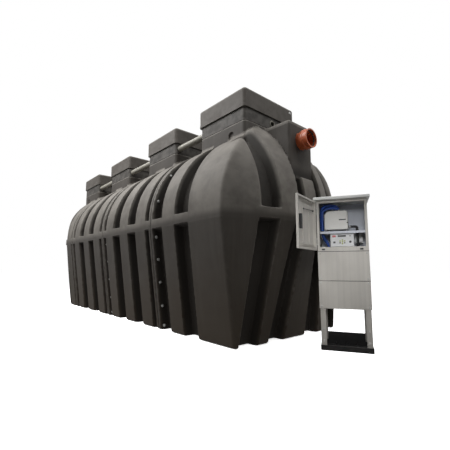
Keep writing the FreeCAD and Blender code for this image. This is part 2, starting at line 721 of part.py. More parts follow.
def add_hole(body, name, face, reverse, side, radius):
    """A round hole through a riser's end wall, in which a pipe or a port's ring is seated."""
    sketch = new_sketch(body, f"{name}Outline", "YZ_Plane", face)
    circle_loop(sketch, side, DUCT, radius)
    pocket(body, name, sketch, "tank_wall", reverse=reverse)


def top_edges(shape):
    """Names of the edges round a body's top face."""
    top = shape.BoundBox.ZMax
    names = []
    for number, edge in enumerate(shape.Edges, start=1):
        if edge.BoundBox.ZMin > top - 0.01:
            names.append(f"Edge{number}")
    return names


def turret_lid(number, place):
    """A hollow cap with round edges and a bead along its back lower edge."""
    body = doc.addObject("PartDesign::Body", f"TurretLid{number}")
    outline = new_sketch(body, f"LidOutline{number}", "XY_Plane", LID_FOOT)
    add_loop(outline, rounded_rectangle(LID_LENGTH, LID_WIDTH, "turret_corner"))
    block = pad(body, f"LidBlock{number}", outline, "lid_height")
    doc.recompute()
    rounding = body.newObject("PartDesign::Fillet", f"LidEdge{number}")
    rounding.Base = (block, top_edges(block.Shape))
    bind(rounding, Radius="lid_edge")
    hollow = new_sketch(body, f"LidHollow{number}", "XY_Plane", LID_FOOT)
    span = ("(turret_length - 2*tank_wall)", "(turret_width - 2*tank_wall)")
    add_loop(hollow, rounded_rectangle(*span, "(turret_corner - tank_wall)"))
    pocket(body, f"LidInside{number}", hollow, "lid_height - tank_wall", reverse=True)
    bead = new_sketch(body, f"BeadOutline{number}", "XZ_Plane")
    edge = f"(-{LID_LENGTH}/2)"
    centre = (f"{edge} + lid_bead_inset", f"{LID_FOOT} + lid_bead")
    corners = [
        (centre[0], f"{LID_FOOT} + 2*lid_bead", centre),
        (centre[0], LID_FOOT),
    ]
    add_loop(bead, corners)
    pad(body, f"Bead{number}", bead, f"{LID_WIDTH} - 2*bead_end", symmetric=True)
    bind(body, Placement__Base__x=place)
    return keep(body, f"turret_lid_{number}")


def straight_pipe(name, radius, bore, start, stop, side):
    """A length of pipe along x, at the height of the holes in the risers."""
    outer = doc.addObject("Part::Cylinder", f"{name}Outer")
    bind(outer, Radius=radius, Height=f"({stop}) - ({start})")
    inner = doc.addObject("Part::Cylinder", f"{name}Inner")
    bind(inner, Radius=bore, Height=f"({stop}) - ({start})")
    pipe = doc.addObject("Part::Cut", name)
    pipe.Base = outer
    pipe.Tool = inner
    along_x = FreeCAD.Rotation(Vector(0, 1, 0), 90)
    pipe.Placement = FreeCAD.Placement(Vector(size(start), size(side), size(DUCT)), along_x)
    return pipe


def conduit(number, behind, ahead):
    """A straight pipe between two turrets, seated in the walls of their risers."""
    start = f"{behind} + turret_length/2 - tank_wall"
    stop = f"{ahead} - turret_length/2 + tank_wall"
    bore = "conduit_diameter/2 - conduit_wall"
    pipe = straight_pipe(f"Conduit{number}", "conduit_diameter/2", bore, start, stop, "-conduit_offset")
    return keep(pipe, f"conduit_{number}")


def riser_port(turret):
    """The ring of the round port in the inlet riser, with its rim proud of the riser's face."""
    start = f"{turret} + turret_length/2 - tank_wall"
    stop = f"{turret} + turret_length/2 + port_rim"
    radius = "port_radius + port_rim"
    ring = straight_pipe("PortRing", radius, "port_radius", start, stop, "port_offset")
    return keep(ring, "riser_port")


# Cabinet

def block(name, x, y, z, length, width, height):
    """A box in the cabinet's frame with its low corner at x, y, z."""
    box = doc.addObject("Part::Box", name)
    bind(box, Length=length, Width=width, Height=height)
    bind(box, Placement__Base__x=x, Placement__Base__y=y, Placement__Base__z=z)
    return box


def cut(name, base, *tools):
    item = base
    for number, tool in enumerate(tools, start=1):
        step = doc.addObject("Part::Cut", f"{name}{number}")
        step.Base = item
        step.Tool = tool
        item = step
    return item


def fuse(name, *pieces):
    item = doc.addObject("Part::MultiFuse", name)
    item.Shapes = list(pieces)
    return item


def stand(item, label):
    """Set a finished cabinet piece in its place beside the tank."""
    if item.TypeId == "Part::Box":
        item = gather(f"{item.Name}Set", item)
    item.Placement = cabinet_placement()
    return keep(item, label)


def gather(name, *pieces):
    """Like pieces that don't touch, in one sub-part."""
    item = doc.addObject("Part::Compound", name)
    item.Links = list(pieces)
    return item


def ring(name, z, height, wall, inset="0"):
    """Four walls round the cabinet's outline."""
    width = f"(cabinet_width - 2*({inset}))"
    depth = f"(cabinet_depth - 2*({inset}))"
    outer = block(f"{name}Outer", f"-{width}/2", inset, z, width, depth, height)
    inner = block(f"{name}Inner", f"-{width}/2 + {wall}", f"{inset} + {wall}", z,
                  f"{width} - 2*{wall}", f"{depth} - 2*{wall}", height)
    return cut(name, outer, inner)


def base_frame():
    """Bars round the foot, a rear upstand, and a grate of slats and rods."""
    left = "-cabinet_width/2"
    bars = ring("FootBars", "0", "foot_height", "foot_bar")
    upstand = block("FootUpstand", f"{left} + leg_width + leg_inset", "cabinet_depth - foot_bar", "0",
                    "cabinet_width - 2*(leg_width + leg_inset)", "upstand_thickness", "foot_upstand")
    pieces = [bars, upstand]
    pitch = "(cabinet_depth - 2*foot_bar)/3"
    for number in (1, 2):
        middle = f"foot_bar + {number}*{pitch}"
        pieces.append(block(f"FootSlat{number}", f"{left} + foot_bar/2", f"{middle} - slat_width/2",
                            "grate_lift", "cabinet_width - foot_bar", "slat_width", "slat_thickness"))
    span = "(cabinet_width - 2*foot_bar)/4"
    for number in (1, 2, 3):
        middle = f"{left} + foot_bar + {number}*{span}"
        pieces.append(block(f"FootRod{number}", f"{middle} - rod_width/2", "foot_bar/2",
                            "grate_lift + slat_thickness",
                            "rod_width", "cabinet_depth - foot_bar", "rod_width"))
    stand(fuse("BaseFrame", *pieces), "base_frame")


def legs():
    """Four angle legs."""
    half = "(cabinet_width/2 - leg_inset)"
    depth = "(cabinet_depth - 2*leg_inset)"
    inner = "(leg_width - panel_wall)"
    pieces = []
    for side, x in (("Left", f"-{half}"), ("Right", f"{half} - leg_width")):
        for end, y in (("Front", "leg_inset"), ("Back", f"leg_inset + {depth} - leg_width")):
            name = f"{side}{end}Leg"
            outer = block(f"{name}Outer", x, y, "foot_height", "leg_width", "leg_width", "leg_height")
            hollow_x = f"{x} + panel_wall" if side == "Left" else x
            hollow_y = f"{y} + panel_wall" if end == "Front" else y
            hollow = block(f"{name}Hollow", hollow_x, hollow_y, "foot_height", inner, inner, "leg_height")
            pieces.append(cut(name, outer, hollow))
    stand(gather("Legs", *pieces), "plinth_legs")


def housing():
    """The walls, floor and door frame of the equipment housing."""
    half = "cabinet_width/2"
    for side, x in (("left", f"-{half}"), ("right", f"{half} - panel_wall")):
        wall = block(f"Housing{side}", x, "frame_depth", HOUSING, "panel_wall", "cabinet_depth - frame_depth",
                     "housing_height")
        stand(wall, f"housing_{side}_wall")
    inner = "(cabinet_width - 2*panel_wall)"
    back = block("HousingBack", f"-{inner}/2", "cabinet_depth - panel_wall", HOUSING, inner, "panel_wall",
                 "housing_height")
    stand(back, "housing_back_wall")
    floor = block("HousingFloor", f"-{inner}/2", "frame_depth", HOUSING, inner,
                  "cabinet_depth - frame_depth - panel_wall", "panel_wall")
    stand(floor, "housing_floor")
    outer = block("FrameOuter", f"-{half}", "0", HOUSING, "cabinet_width", "frame_depth", "housing_height")
    opening = block("FrameOpening", f"-{half} + frame_width", "0", f"{HOUSING} + rail_height",
                    "cabinet_width - 2*frame_width", "frame_depth",
                    "housing_height - rail_height - frame_width")
    stand(cut("DoorFrame", outer, opening), "door_frame")


def roof():
    """A sloping cap with a lip that overhangs the front and sides."""
    body = doc.addObject("PartDesign::Body", "Roof")
    front, back = "-(roof_overhang + door_thickness)", "cabinet_depth + roof_overhang/2"
    sketch = new_sketch(body, "RoofSide", "YZ_Plane")
    brow = f"{ROOF} + roof_lip"
    add_loop(sketch, [(front, ROOF), (back, ROOF), (back, f"{brow} + roof_rise"), (front, brow)])
    pad(body, "RoofBlock", sketch, "cabinet_width + 2*roof_overhang", symmetric=True)
    hollow = new_sketch(body, "RoofUnderside", "YZ_Plane")
    inner_front, inner_back = f"{front} + panel_wall", f"{back} - panel_wall"
    ceiling = f"{ROOF} + panel_wall"
    add_loop(hollow, [
        (inner_front, ceiling),
        (inner_back, ceiling),
        (inner_back, f"{brow} + roof_rise - panel_wall"),
        (inner_front, f"{brow} - panel_wall"),
    ])
    pocket(body, "RoofInside", hollow, "cabinet_width + 2*roof_overhang - 2*panel_wall", symmetric=True)
    body.Placement = cabinet_placement()
    keep(body, "cabinet_roof")


def shelf():
    """A plate with a front lip and two holes for hoses, between the housing's side walls."""
    inner = "(cabinet_width - 2*panel_wall)"
    depth = "(cabinet_depth - shelf_setback - panel_wall)"
    plate = block("ShelfPlate", f"-{inner}/2", "shelf_setback", SHELF, inner, depth, "panel_wall")
    lip = block("ShelfLip", f"-{inner}/2", "shelf_setback", f"{SHELF} + panel_wall - shelf_lip", inner,
                "panel_wall", "shelf_lip")
    holes = []
    for name, x, y, radius in (
        ("AirHole", ARCH_X, ARCH_Y, "air_hose_radius"),
        ("OutletHole", OUTLET_X, OUTLET_Y, "outlet_hose_radius"),
    ):
        hole = doc.addObject("Part::Cylinder", name)
        bind(hole, Radius=f"{radius} + hose_play", Height="panel_wall")
        bind(hole, Placement__Base__x=x, Placement__Base__y=y, Placement__Base__z=SHELF)
        holes.append(hole)
    stand(cut("Shelf", fuse("ShelfSheet", plate, lip), *holes), "equipment_shelf")


def blower():
    """The blower's moulded housing with bevelled upper edges, on four rubber feet."""
    body = doc.addObject("PartDesign::Body", "Blower")
    foot = f"({SHELF} + panel_wall + blower_foot_height)"
    top = f"({foot} + blower_height)"
    sketch = new_sketch(body, "BlowerFront", "XZ_Plane", "-blower_setback - blower_depth")
    add_loop(sketch, [
        (BLOWER_LEFT, foot),
        (BLOWER_RIGHT, foot),
        (BLOWER_RIGHT, f"{top} - blower_chamfer/2"),
        (f"{BLOWER_RIGHT} - blower_chamfer/2", top),
        (f"{BLOWER_LEFT} + blower_chamfer", top),
        (BLOWER_LEFT, f"{top} - blower_chamfer"),
    ])
    case = pad(body, "BlowerCase", sketch, "blower_depth")
    doc.recompute()
    front = min(edge.BoundBox.YMin for edge in case.Shape.Edges)
    rim = []
    for number, edge in enumerate(case.Shape.Edges, start=1):
        if edge.BoundBox.YMax < front + 0.01:
            rim.append(f"Edge{number}")
    rounding = body.newObject("PartDesign::Fillet", "BlowerEdge")
    rounding.Base = (case, rim)
    bind(rounding, Radius="blower_edge")
    body.Placement = cabinet_placement()
    keep(body, "blower_housing")

    feet = []
    inset = "2*blower_foot_radius"
    for side, x in (("Left", f"{BLOWER_LEFT} + {inset}"), ("Right", f"{BLOWER_RIGHT} - {inset}")):
        for end, y in (("Front", f"blower_setback + {inset}"),
                       ("Back", f"blower_setback + blower_depth - {inset}")):
            peg = doc.addObject("Part::Cylinder", f"{side}{end}Foot")
            bind(peg, Radius="blower_foot_radius", Height="blower_foot_height")
            bind(peg, Placement__Base__x=x, Placement__Base__y=y, Placement__Base__z=f"{SHELF} + panel_wall")
            feet.append(peg)
    stand(gather("BlowerFeet", *feet), "blower_feet")


def control_boxes():
    """The controller under the shelf and the junction box on the back wall."""
    controller = block("Controller", CONTROLLER_LEFT, "controller_setback",
                       f"{SHELF} - controller_height",
                       "controller_width", "controller_depth", "controller_height")
    stand(controller, "controller_box")
    junction = block("Junction", f"{RIGHT_WALL} - junction_gap - junction_width",
                     "cabinet_depth - panel_wall - junction_depth",
                     f"{SHELF} - junction_height", "junction_width", "junction_depth", "junction_height")
    stand(junction, "junction_box")


def tube(points, radius):
    """A hose along straight runs joined by tangent arcs, as large as the runs allow."""
    share = 0.45
    edges = []
    start = points[0]
    for before, corner, after in zip(points, points[1:], points[2:]):
        back = (before - corner).normalize()
        ahead = (after - corner).normalize()
        reach = share*min((before - corner).Length, (after - corner).Length)
        first = corner + back*reach
        last = corner + ahead*reach
        half_turn = (math.pi - back.getAngle(ahead))/2
        bend = reach/math.tan(half_turn)
        bisector = (back + ahead).normalize()
        centre = corner + bisector*math.hypot(bend, reach)
        middle = centre - bisector*bend
        edges.append(Part.makeLine(start, first))
        edges.append(Part.Arc(first, middle, last).toShape())
        start = last
    edges.append(Part.makeLine(start, points[-1]))
    path = Part.Wire(edges)
    heading = (points[1] - points[0]).normalize()
    ring_edge = Part.Circle(points[0], heading, radius).toShape()
    return path.makePipeShell([Part.Wire([ring_edge])], True, False)


def hoses():
    """The hoses inside the housing, each held at both ends."""
    floor = size(f"{HOUSING} + panel_wall")
    case_foot = size(f"{SHELF} + panel_wall + blower_foot_height")
    case_top = case_foot + size("blower_height")
    place = cabinet_placement()

    x, y = size(OUTLET_X), size(OUTLET_Y)
    lift = case_foot + size("outlet_lift")
    elbow = [Vector(size(BLOWER_RIGHT), y, lift), Vector(x, y, lift), Vector(x, y, floor)]
    keep(form("OutletHose", tube(elbow, size("outlet_hose_radius")), place), "blower_outlet_hose")

    x, y = size(ARCH_X), size(ARCH_Y)
    crest = case_top + size("arch_rise")
    foot_x = size(f"{CONTROLLER_LEFT} - loop_gap - air_hose_radius")
    foot_y = y + size("loop_lean")
    inlet_x, inlet_y = size(f"{BLOWER_LEFT} + arch_span"), y + size("arch_lean")
    arch = [
        Vector(foot_x, foot_y, floor),
        Vector(foot_x, foot_y, floor + size("loop_foot")),
        Vector(x, y, floor + size("loop_head")),
        Vector(x, y, crest),
        Vector(inlet_x, inlet_y, crest),
        Vector(inlet_x, inlet_y, case_top),
    ]
    keep(form("AirHose", tube(arch, size("air_hose_radius")), place), "air_hose")

    x, y = size(f"{LEFT_WALL} + small_hose_gap"), size("small_hose_setback")
    head = size(SHELF)
    bend = Vector(x + size("small_hose_bulge"), y, (floor + head)/2)
    stub = Vector(0, 0, size("small_hose_stub"))
    top, foot = Vector(x, y, head), Vector(x, y, floor)
    loop = [top, top - stub, bend, foot + stub, foot]
    keep(form("SmallHose", tube(loop, size("small_hose_radius")), place), "small_hose")


def door_frame_of_reference():
    """Where the open door's own frame stands: turned about the hinge."""
    hinge = Vector(size(HINGE_X), size(HINGE_Y), 0)
    swing = FreeCAD.Placement(hinge, FreeCAD.Rotation(Vector(0, 0, 1), -size("door_open")))
    return cabinet_placement().multiply(swing)


def hang(item, label):
    """Set a finished door piece in the open door's place."""
    item.Placement = door_frame_of_reference()
    return keep(item, label)


def door():
    """The door tray, its latch and its hinge barrels, in a frame with the hinge axis at x = y = 0."""
    edge = "hinge_reach"
    width = "(cabinet_width - 2*door_margin)"
    half = "door_thickness/2"
    leaf = block("DoorLeaf", edge, f"-{half}", DOOR_LOW, width, "door_thickness", DOOR_HEIGHT)
    tray = block("DoorTray", f"{edge} + door_rim", f"-{half} + door_skin", f"{DOOR_LOW} + door_rim",
                 f"{width} - 2*door_rim", "door_thickness", f"{DOOR_HEIGHT} - 2*door_rim")
    hang(cut("Door", leaf, tray), "cabinet_door")

    latch = block("Latch", f"{edge} + {width} - latch_inset - latch_width", f"-{half} + door_skin",
                  f"{DOOR_LOW} + {DOOR_HEIGHT}/2 - latch_height/2",
                  "latch_width", "latch_depth", "latch_height")
    hang(gather("LatchSet", latch), "door_latch")

    barrels = []
    for name, z in (("Lower", LOWER_HINGE), ("Upper", UPPER_HINGE)):
        barrel = doc.addObject("Part::Cylinder", f"{name}Barrel")
        bind(barrel, Radius="hinge_radius", Height="hinge_length", Placement__Base__z=z)
        web = block(f"{name}Web", "0", "-hinge_pin", z, "hinge_reach", "2*hinge_pin", "hinge_length")
        bore = doc.addObject("Part::Cylinder", f"{name}Bore")
        bind(bore, Radius="hinge_pin + hinge_play", Height="hinge_length", Placement__Base__z=z)
        barrels.append(cut(f"{name}Hinge", fuse(f"{name}Leaf", barrel, web), bore))
    hang(gather("HingeBarrels", *barrels), "door_hinge_barrels")


def hinge_pins():
    """Pins between two ears each, fixed to the housing's left wall."""
    x = HINGE_X
    y = HINGE_Y
    pieces = []
    for name, z in (("Lower", LOWER_HINGE), ("Upper", UPPER_HINGE)):
        pin = doc.addObject("Part::Cylinder", f"{name}Pin")
        reach = "(hinge_gap + hinge_ear)"
        bind(pin, Radius="hinge_pin", Height=f"hinge_length + 2*{reach}")
        bind(pin, Placement__Base__x=x, Placement__Base__y=y, Placement__Base__z=f"{z} - {reach}")
        ears = [pin]
        for level, ear_z in (("Foot", f"{z} - {reach}"), ("Head", f"{z} + hinge_length + hinge_gap")):
            ears.append(block(f"{name}{level}Ear", f"{x} - hinge_radius", f"{y} - hinge_radius", ear_z,
                              "hinge_reach - door_margin + hinge_radius",
                              f"hinge_radius - {y} + frame_depth", "hinge_ear"))
        pieces.append(fuse(f"{name}HingePost", *ears))
    stand(gather("HingePins", *pieces), "hinge_pins")


def build_tank():
    inlet = End("inlet")
    outlet = End("outlet")
    inlet_place = FreeCAD.Placement(Vector(size("module_pitch/2"), 0, 0), FreeCAD.Rotation())
    half_turn = FreeCAD.Rotation(Vector(0, 0, 1), 180)
    outlet_place = FreeCAD.Placement(Vector(size("-1.5*module_pitch"), 0, 0), half_turn)
    for end, placement in ((inlet, inlet_place), (outlet, outlet_place)):
        end_module(end, placement)
        pipe_box(end, placement)
        pipe_socket(end, placement)
    middle_module(1, "0")
    middle_module(2, "-module_pitch")
    for number, place in enumerate(("module_pitch/2", "-module_pitch/2", "-1.5*module_pitch"), start=1):
        flange_gasket(number, place)
    turrets = (
        "module_pitch/2 + inlet_turret",
        "turret_shift",
        "turret_shift - module_pitch",
        "-1.5*module_pitch - outlet_turret",
    )
    for number, place in enumerate(turrets, start=1):
        turret_riser(number, place)
        turret_lid(number, place)
    for number, (ahead, behind) in enumerate(zip(turrets, turrets[1:]), start=1):
        conduit(number, behind, ahead)
    riser_port(turrets[0])


def build_cabinet():
    base_frame()
    legs()
    stand(ring("LowerPlinth", LOWER_PLINTH, "lower_panel_height", "panel_wall"), "lower_plinth")
    stand(ring("UpperPlinth", UPPER_PLINTH, "upper_panel_height", "panel_wall"), "upper_plinth")
    housing()
    roof()
    shelf()
    blower()
    control_boxes()
    hoses()
    hinge_pins()
    door()


def check():
    """Stop if any object failed or any sub-part has no sound shape."""
    for item in doc.Objects:
        if "Invalid" in item.State or "Error" in item.State:
            raise RuntimeError(f"{item.Name} failed: {item.State}")
    for item in subparts:
        if item.Shape.isNull() or not item.Shape.isValid():
            raise RuntimeError(f"{item.Label} has no sound shape")


build_tank()
build_cabinet()
doc.recompute()
check()
os.makedirs("parts", exist_ok=True)
for item in subparts:
    item.Shape.exportStep(f"parts/{item.Label}.step")
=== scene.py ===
import math

import bmesh
import bpy
import numpy as np
from mathutils import Matrix, Vector


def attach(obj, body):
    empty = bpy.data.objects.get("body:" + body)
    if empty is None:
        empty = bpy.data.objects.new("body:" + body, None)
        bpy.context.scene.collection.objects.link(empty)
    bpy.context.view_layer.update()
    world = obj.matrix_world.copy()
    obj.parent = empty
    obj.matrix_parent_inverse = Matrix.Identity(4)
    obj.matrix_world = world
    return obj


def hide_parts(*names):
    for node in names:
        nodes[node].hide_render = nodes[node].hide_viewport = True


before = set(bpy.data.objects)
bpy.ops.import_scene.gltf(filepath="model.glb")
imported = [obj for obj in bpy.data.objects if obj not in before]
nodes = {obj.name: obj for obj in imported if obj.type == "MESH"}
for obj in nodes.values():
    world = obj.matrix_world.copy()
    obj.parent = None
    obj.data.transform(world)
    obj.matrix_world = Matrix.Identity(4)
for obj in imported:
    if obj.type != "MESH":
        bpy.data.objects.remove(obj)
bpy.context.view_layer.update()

# Sizes of the tank, in metres, as in the part's source
PITCH = 1.4
GASKET = 0.006
MODULE_HALF = (PITCH - GASKET)/2
BELT_LOW = 1.066
BELT_TOP = 1.178
BELT_HALF = 0.89
BASE_HALF = 0.75
GROOVE = 0.1
SEAM = 2.146
TURRET_LENGTH = 0.735
TURRET_WIDTH = 0.775
TURRET_CORNER = 0.04
INLET_TURRET = 1.297

# Hoop ribs and turret of a middle module, from its middle plane
MIDDLE_RIB = 0.125
SIDE_RIB = (0.326, 0.576)
FLANGE_START = 0.656
MIDDLE_TURRET = 0.02

# Flange, ribs and pipe box of an end
END_FLANGE = 0.044
BROW_HALF = 0.18
CROWN_PANEL = 0.095
CROWN_RIB = (0.182, 0.38)
CROWN_SLOPE = (0.53, 0.125)
SKIRT_RIB = (0.224, 0.4)
FOOT_PANEL = 0.165
FOOT_RIB = (0.375, 0.51)
CORNER_FOOT = 0.026
BOX_HALF = 0.182
BOX_FOOT = 1.498
BOX_ROOF = 2.074
BOX_FALL = 0.005

# Roundings of the mouldings
EDGE = 0.018
RIB_EDGE = 0.016
RIM_EDGE = 0.012
FACET_EDGE = 0.024
WIDE_EDGE = 0.03

# Cabinet
CABINET = (2.513, -0.125)
CABINET_TURN = math.radians(28.5)
HINGE = (-0.204, -0.015)
DOOR_OPEN = math.radians(105)
QUARTER = math.pi/2


# Pieces in the scene

def new_piece(name, mesh_data, finish, body="plant"):
    """A piece of the object from a mesh, riding on a body."""
    piece = bpy.data.objects.new(name, mesh_data)
    bpy.context.scene.collection.objects.link(piece)
    piece.data.materials.clear()
    piece.data.materials.append(finish.material)
    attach(piece, body)
    return piece


def mesh_from(bm, name):
    """A smooth mesh from a bmesh, which is freed."""
    data = bpy.data.meshes.new(name)
    bm.normal_update()
    bm.to_mesh(data)
    bm.free()
    data.shade_smooth()
    return data


def even_shading(piece):
    """Flat faces stay flat beside their rounded edges."""
    modifier = piece.modifiers.new("Even shading", "WEIGHTED_NORMAL")
    modifier.mode = "FACE_AREA"
    modifier.weight = 80
    return piece


def placed(point, turn=0.0, axis="Z"):
    """A place at a point, turned about an axis."""
    return Matrix.Translation(point) @ Matrix.Rotation(turn, 4, axis)


# Moulded skins: a closed surface where a field of distances is zero

def step(value, edge, soft):
    """0 below an edge and 1 above it, with a soft passage between."""
    t = np.clip((value - edge)/soft + 0.5, 0, 1)
    return t*t*(3 - 2*t)


def band(value, low, high, soft):
    """1 between two edges and 0 outside them."""
    return step(value, low, soft)*(1 - step(value, high, soft))


def between(one, two, share):
    return one + (two - one)*share


def round_max(one, two, radius):
    """The greater of two fields, with a rounded edge where they meet."""
    share = np.clip(0.5 + 0.5*(one - two)/radius, 0, 1)
    return two + (one - two)*share + radius*share*(1 - share)


def round_min(one, two, radius):
    """The lesser of two fields, with a hollow fillet where they meet."""
    return -round_max(-one, -two, radius)


def turret_neck(x, y, z, middle):
    """Distance from a turret's neck, an upright block with round corners."""
    out_x = np.abs(x - middle) - TURRET_LENGTH/2 + TURRET_CORNER
    out_y = np.abs(y) - TURRET_WIDTH/2 + TURRET_CORNER
    outside = np.hypot(np.maximum(out_x, 0), np.maximum(out_y, 0))
    block = outside + np.minimum(np.maximum(out_x, out_y), 0) - TURRET_CORNER
    return np.maximum(block, BELT_TOP - z)


def ripple(x, y, z):
    """The slight unevenness of a large moulding, inwards only."""
    waves = (np.sin(5.1*x + 2.3*z + 0.4) + np.sin(6.7*y - 3.9*z + 1.1)
             + np.sin(9.3*x - 7.1*y + 2.0))
    return 0.0009*(waves + 3)


def rolled(out, above, radius):
    """A facet that is upright to the belt's top and then rolls over with a crown radius."""
    inward = out + radius
    return np.where(inward > 0, np.hypot(inward, above), above) - radius


def skirt_share(z):
    """How far up the skirt a height is: 0 at the ground and 1 at the belt."""
    return np.clip(z/BELT_LOW, 0, 1)


def off_belt(z):
    """1 where grooves may be, and 0 on the belt."""
    return 1 - band(z, BELT_LOW, BELT_TOP, 0.022)


class Middle:
    """A middle module, about its own middle plane."""

    def across(self, lines, z):
        """Straight grid lines across the module."""
        return lines + 0*z

    def outline(self, x, y, z):
        """The form without its grooves."""
        out = np.abs(y) - between(BASE_HALF, BELT_HALF, skirt_share(z))
        return rolled(out, np.maximum(z - BELT_TOP, 0), BELT_HALF) + ripple(x, y, z)

    def field(self, x, y, z):
        """Distance from the module's surface."""
        place = np.abs(x)
        raised = (1 - step(place, MIDDLE_RIB, EDGE) + band(place, *SIDE_RIB, EDGE)
                  + step(place, FLANGE_START, RIM_EDGE))
        wall = self.outline(x, y, z) + GROOVE*(1 - np.clip(raised, 0, 1))*off_belt(z)
        wall = round_max(wall, -z, WIDE_EDGE)
        wall = round_max(wall, place - MODULE_HALF, RIM_EDGE)
        wall = round_min(wall, turret_neck(x, y, z, MIDDLE_TURRET), WIDE_EDGE)
        return round_max(wall, z - SEAM, RIM_EDGE)


class End:
    """One tank end, outward from its flange joint. Its shoulder edge is given by its reach and its distance
    from the middle plane at the belt, and by that distance at the ground."""

    # Crown radii of the side, corner, end and middle facets, and half the grid's width
    radii = (BELT_HALF, 1.65, 1.17, 1.17)
    grid_half = 0.95

    def __init__(self, rib, panel, corner, shoulder, brow, foot, turret, box_front):
        self.rib = rib
        self.panel = panel
        self.brow = brow
        self.turret = turret
        self.face = turret + TURRET_LENGTH/2
        self.box_front = box_front
        reach, self.shoulder_side, shoulder_foot = shoulder
        self.field_foot = shoulder_foot + CORNER_FOOT
        self.ground = ((0, BASE_HALF), (corner, BASE_HALF), (foot, shoulder_foot), (foot, BROW_HALF),
                       (foot, -BROW_HALF))
        self.belt = ((0, BELT_HALF), (corner, BELT_HALF), (reach, self.shoulder_side), (brow, BROW_HALF),
                     (brow, -BROW_HALF))
        self.rib_edges = (0.0, CROWN_PANEL, *SKIRT_RIB, self.shoulder_side, self.grid_half)

    def outline(self, x, y, z):
        """The form without its grooves: facets that lean out to the belt and roll over above it. In front of
        the neck the crown rises a little, so that the ribs run up to it."""
        side = np.abs(y)
        share = skirt_share(z)
        above = np.maximum(z - BELT_TOP, 0)
        points = []
        for (ground_x, ground_y), (belt_x, belt_y) in zip(self.ground, self.belt):
            points.append((between(ground_x, belt_x, share), between(ground_y, belt_y, share)))
        rise = 0.025 + 0.06*np.clip((CROWN_RIB[1] - side)/0.2, 0, 1)
        rise = rise*step(x, self.face, 0.02)*(1 - step(side, 0.4, 0.02))
        facets = []
        for (first_x, first_y), (next_x, next_y), radius in zip(points, points[1:], self.radii):
            along_x, along_y = next_x - first_x, next_y - first_y
            out = ((side - first_y)*along_x - (x - first_x)*along_y)/np.hypot(along_x, along_y)
            facets.append(rolled(out, above if facets else np.maximum(above - rise, 0), radius))
        crown_edge = 0.1*step(z, 1.8, 0.5)
        form = round_max(facets[0], facets[1], FACET_EDGE + crown_edge)
        for facet in facets[2:]:
            form = round_max(form, facet, FACET_EDGE)
        return form + ripple(x, y, z)

    def across(self, lines, z):
        """Grid lines across the end, spread so that they follow the edges of its ribs."""
        share = skirt_share(z)
        lift = np.clip((z - BELT_LOW)/(BELT_TOP - BELT_LOW), 0, 1)
        belt = self.rib_edges
        ground = (0.0, FOOT_PANEL, *FOOT_RIB, self.field_foot, self.grid_half)
        crown = (0.0, CROWN_PANEL, *CROWN_RIB, 0.5, self.grid_half)
        edges = [low + (middle - low)*share + (high - middle)*lift
                 for low, middle, high in zip(ground, belt, crown)]
        place = np.zeros(np.broadcast(lines, z).shape)
        for index in range(len(belt) - 1):
            part = np.clip((np.abs(lines) - belt[index])/(belt[index + 1] - belt[index]), 0, 1)
            place = place + part*(edges[index + 1] - edges[index])
        return np.sign(lines)*place

    def field(self, x, y, z):
        """Distance from the end's surface, pipe box and neck included."""
        side = np.abs(y)
        wall = self.outline(x, y, z) + GROOVE*self.grooves(x, side, z)
        wall = round_max(wall, -z, WIDE_EDGE)
        wall = round_max(wall, GASKET/2 - x, RIM_EDGE)
        box_space = np.maximum(np.maximum(side - BOX_HALF, BOX_FOOT - z), self.face - x)
        wall = round_max(wall, -box_space, RIM_EDGE)
        neck = turret_neck(x, y, z, self.turret) + self.pocket(x, side, z)
        wall = round_min(wall, neck, WIDE_EDGE)
        wall = round_min(wall, self.pipe_box(x, side, z), FACET_EDGE)
        return round_max(wall, z - SEAM, RIM_EDGE)

    def pocket(self, x, side, z):
        """Depth of the arched lifting pocket in the neck's sides."""
        arch = np.hypot(x - self.turret - 0.163, np.maximum(z - 2.028, 0)) - 0.036
        return 0.016*(1 - step(arch, 0, 0.014))*step(side, TURRET_WIDTH/2 - 0.05, 0.02)

    def grooves(self, x, side, z):
        """1 in the grooves between the hoops and between the ribs of the end, and 0 elsewhere."""
        share = skirt_share(z)
        hoops = 1 - step(x, END_FLANGE, RIM_EDGE) + band(x, *self.rib, EDGE) + step(x, self.panel, EDGE)
        hoop_grooves = 1 - np.clip(hoops, 0, 1)
        crown = step(side, CROWN_RIB[1], RIB_EDGE)*(1 - step(side, *CROWN_SLOPE))
        crown = crown + band(side, CROWN_PANEL, CROWN_RIB[0], RIB_EDGE)
        outer = band(side, between(FOOT_RIB[1], SKIRT_RIB[1], share),
                     between(self.field_foot, self.shoulder_side, share), RIB_EDGE)
        inner = band(side, between(FOOT_PANEL, CROWN_PANEL, share),
                     between(FOOT_RIB[0], SKIRT_RIB[0], share), RIB_EDGE)
        ends = np.where(z > (BELT_LOW + BELT_TOP)/2, crown, outer + inner)*step(x, self.face, EDGE)
        return np.clip(hoop_grooves + ends, 0, 1)*off_belt(z)

    def pipe_box(self, x, side, z):
        """The moulded box round the pipe, with a roof that falls a little to the front."""
        roof = BOX_ROOF - BOX_FALL*np.clip((x - self.face)/(self.box_front - self.face), 0, 1)
        box = round_max(side - BOX_HALF, x - self.box_front, WIDE_EDGE)
        box = round_max(box, z - roof, WIDE_EDGE)
        return np.maximum(np.maximum(box, BOX_FOOT - 0.03 - z), self.face - 0.1 - x)


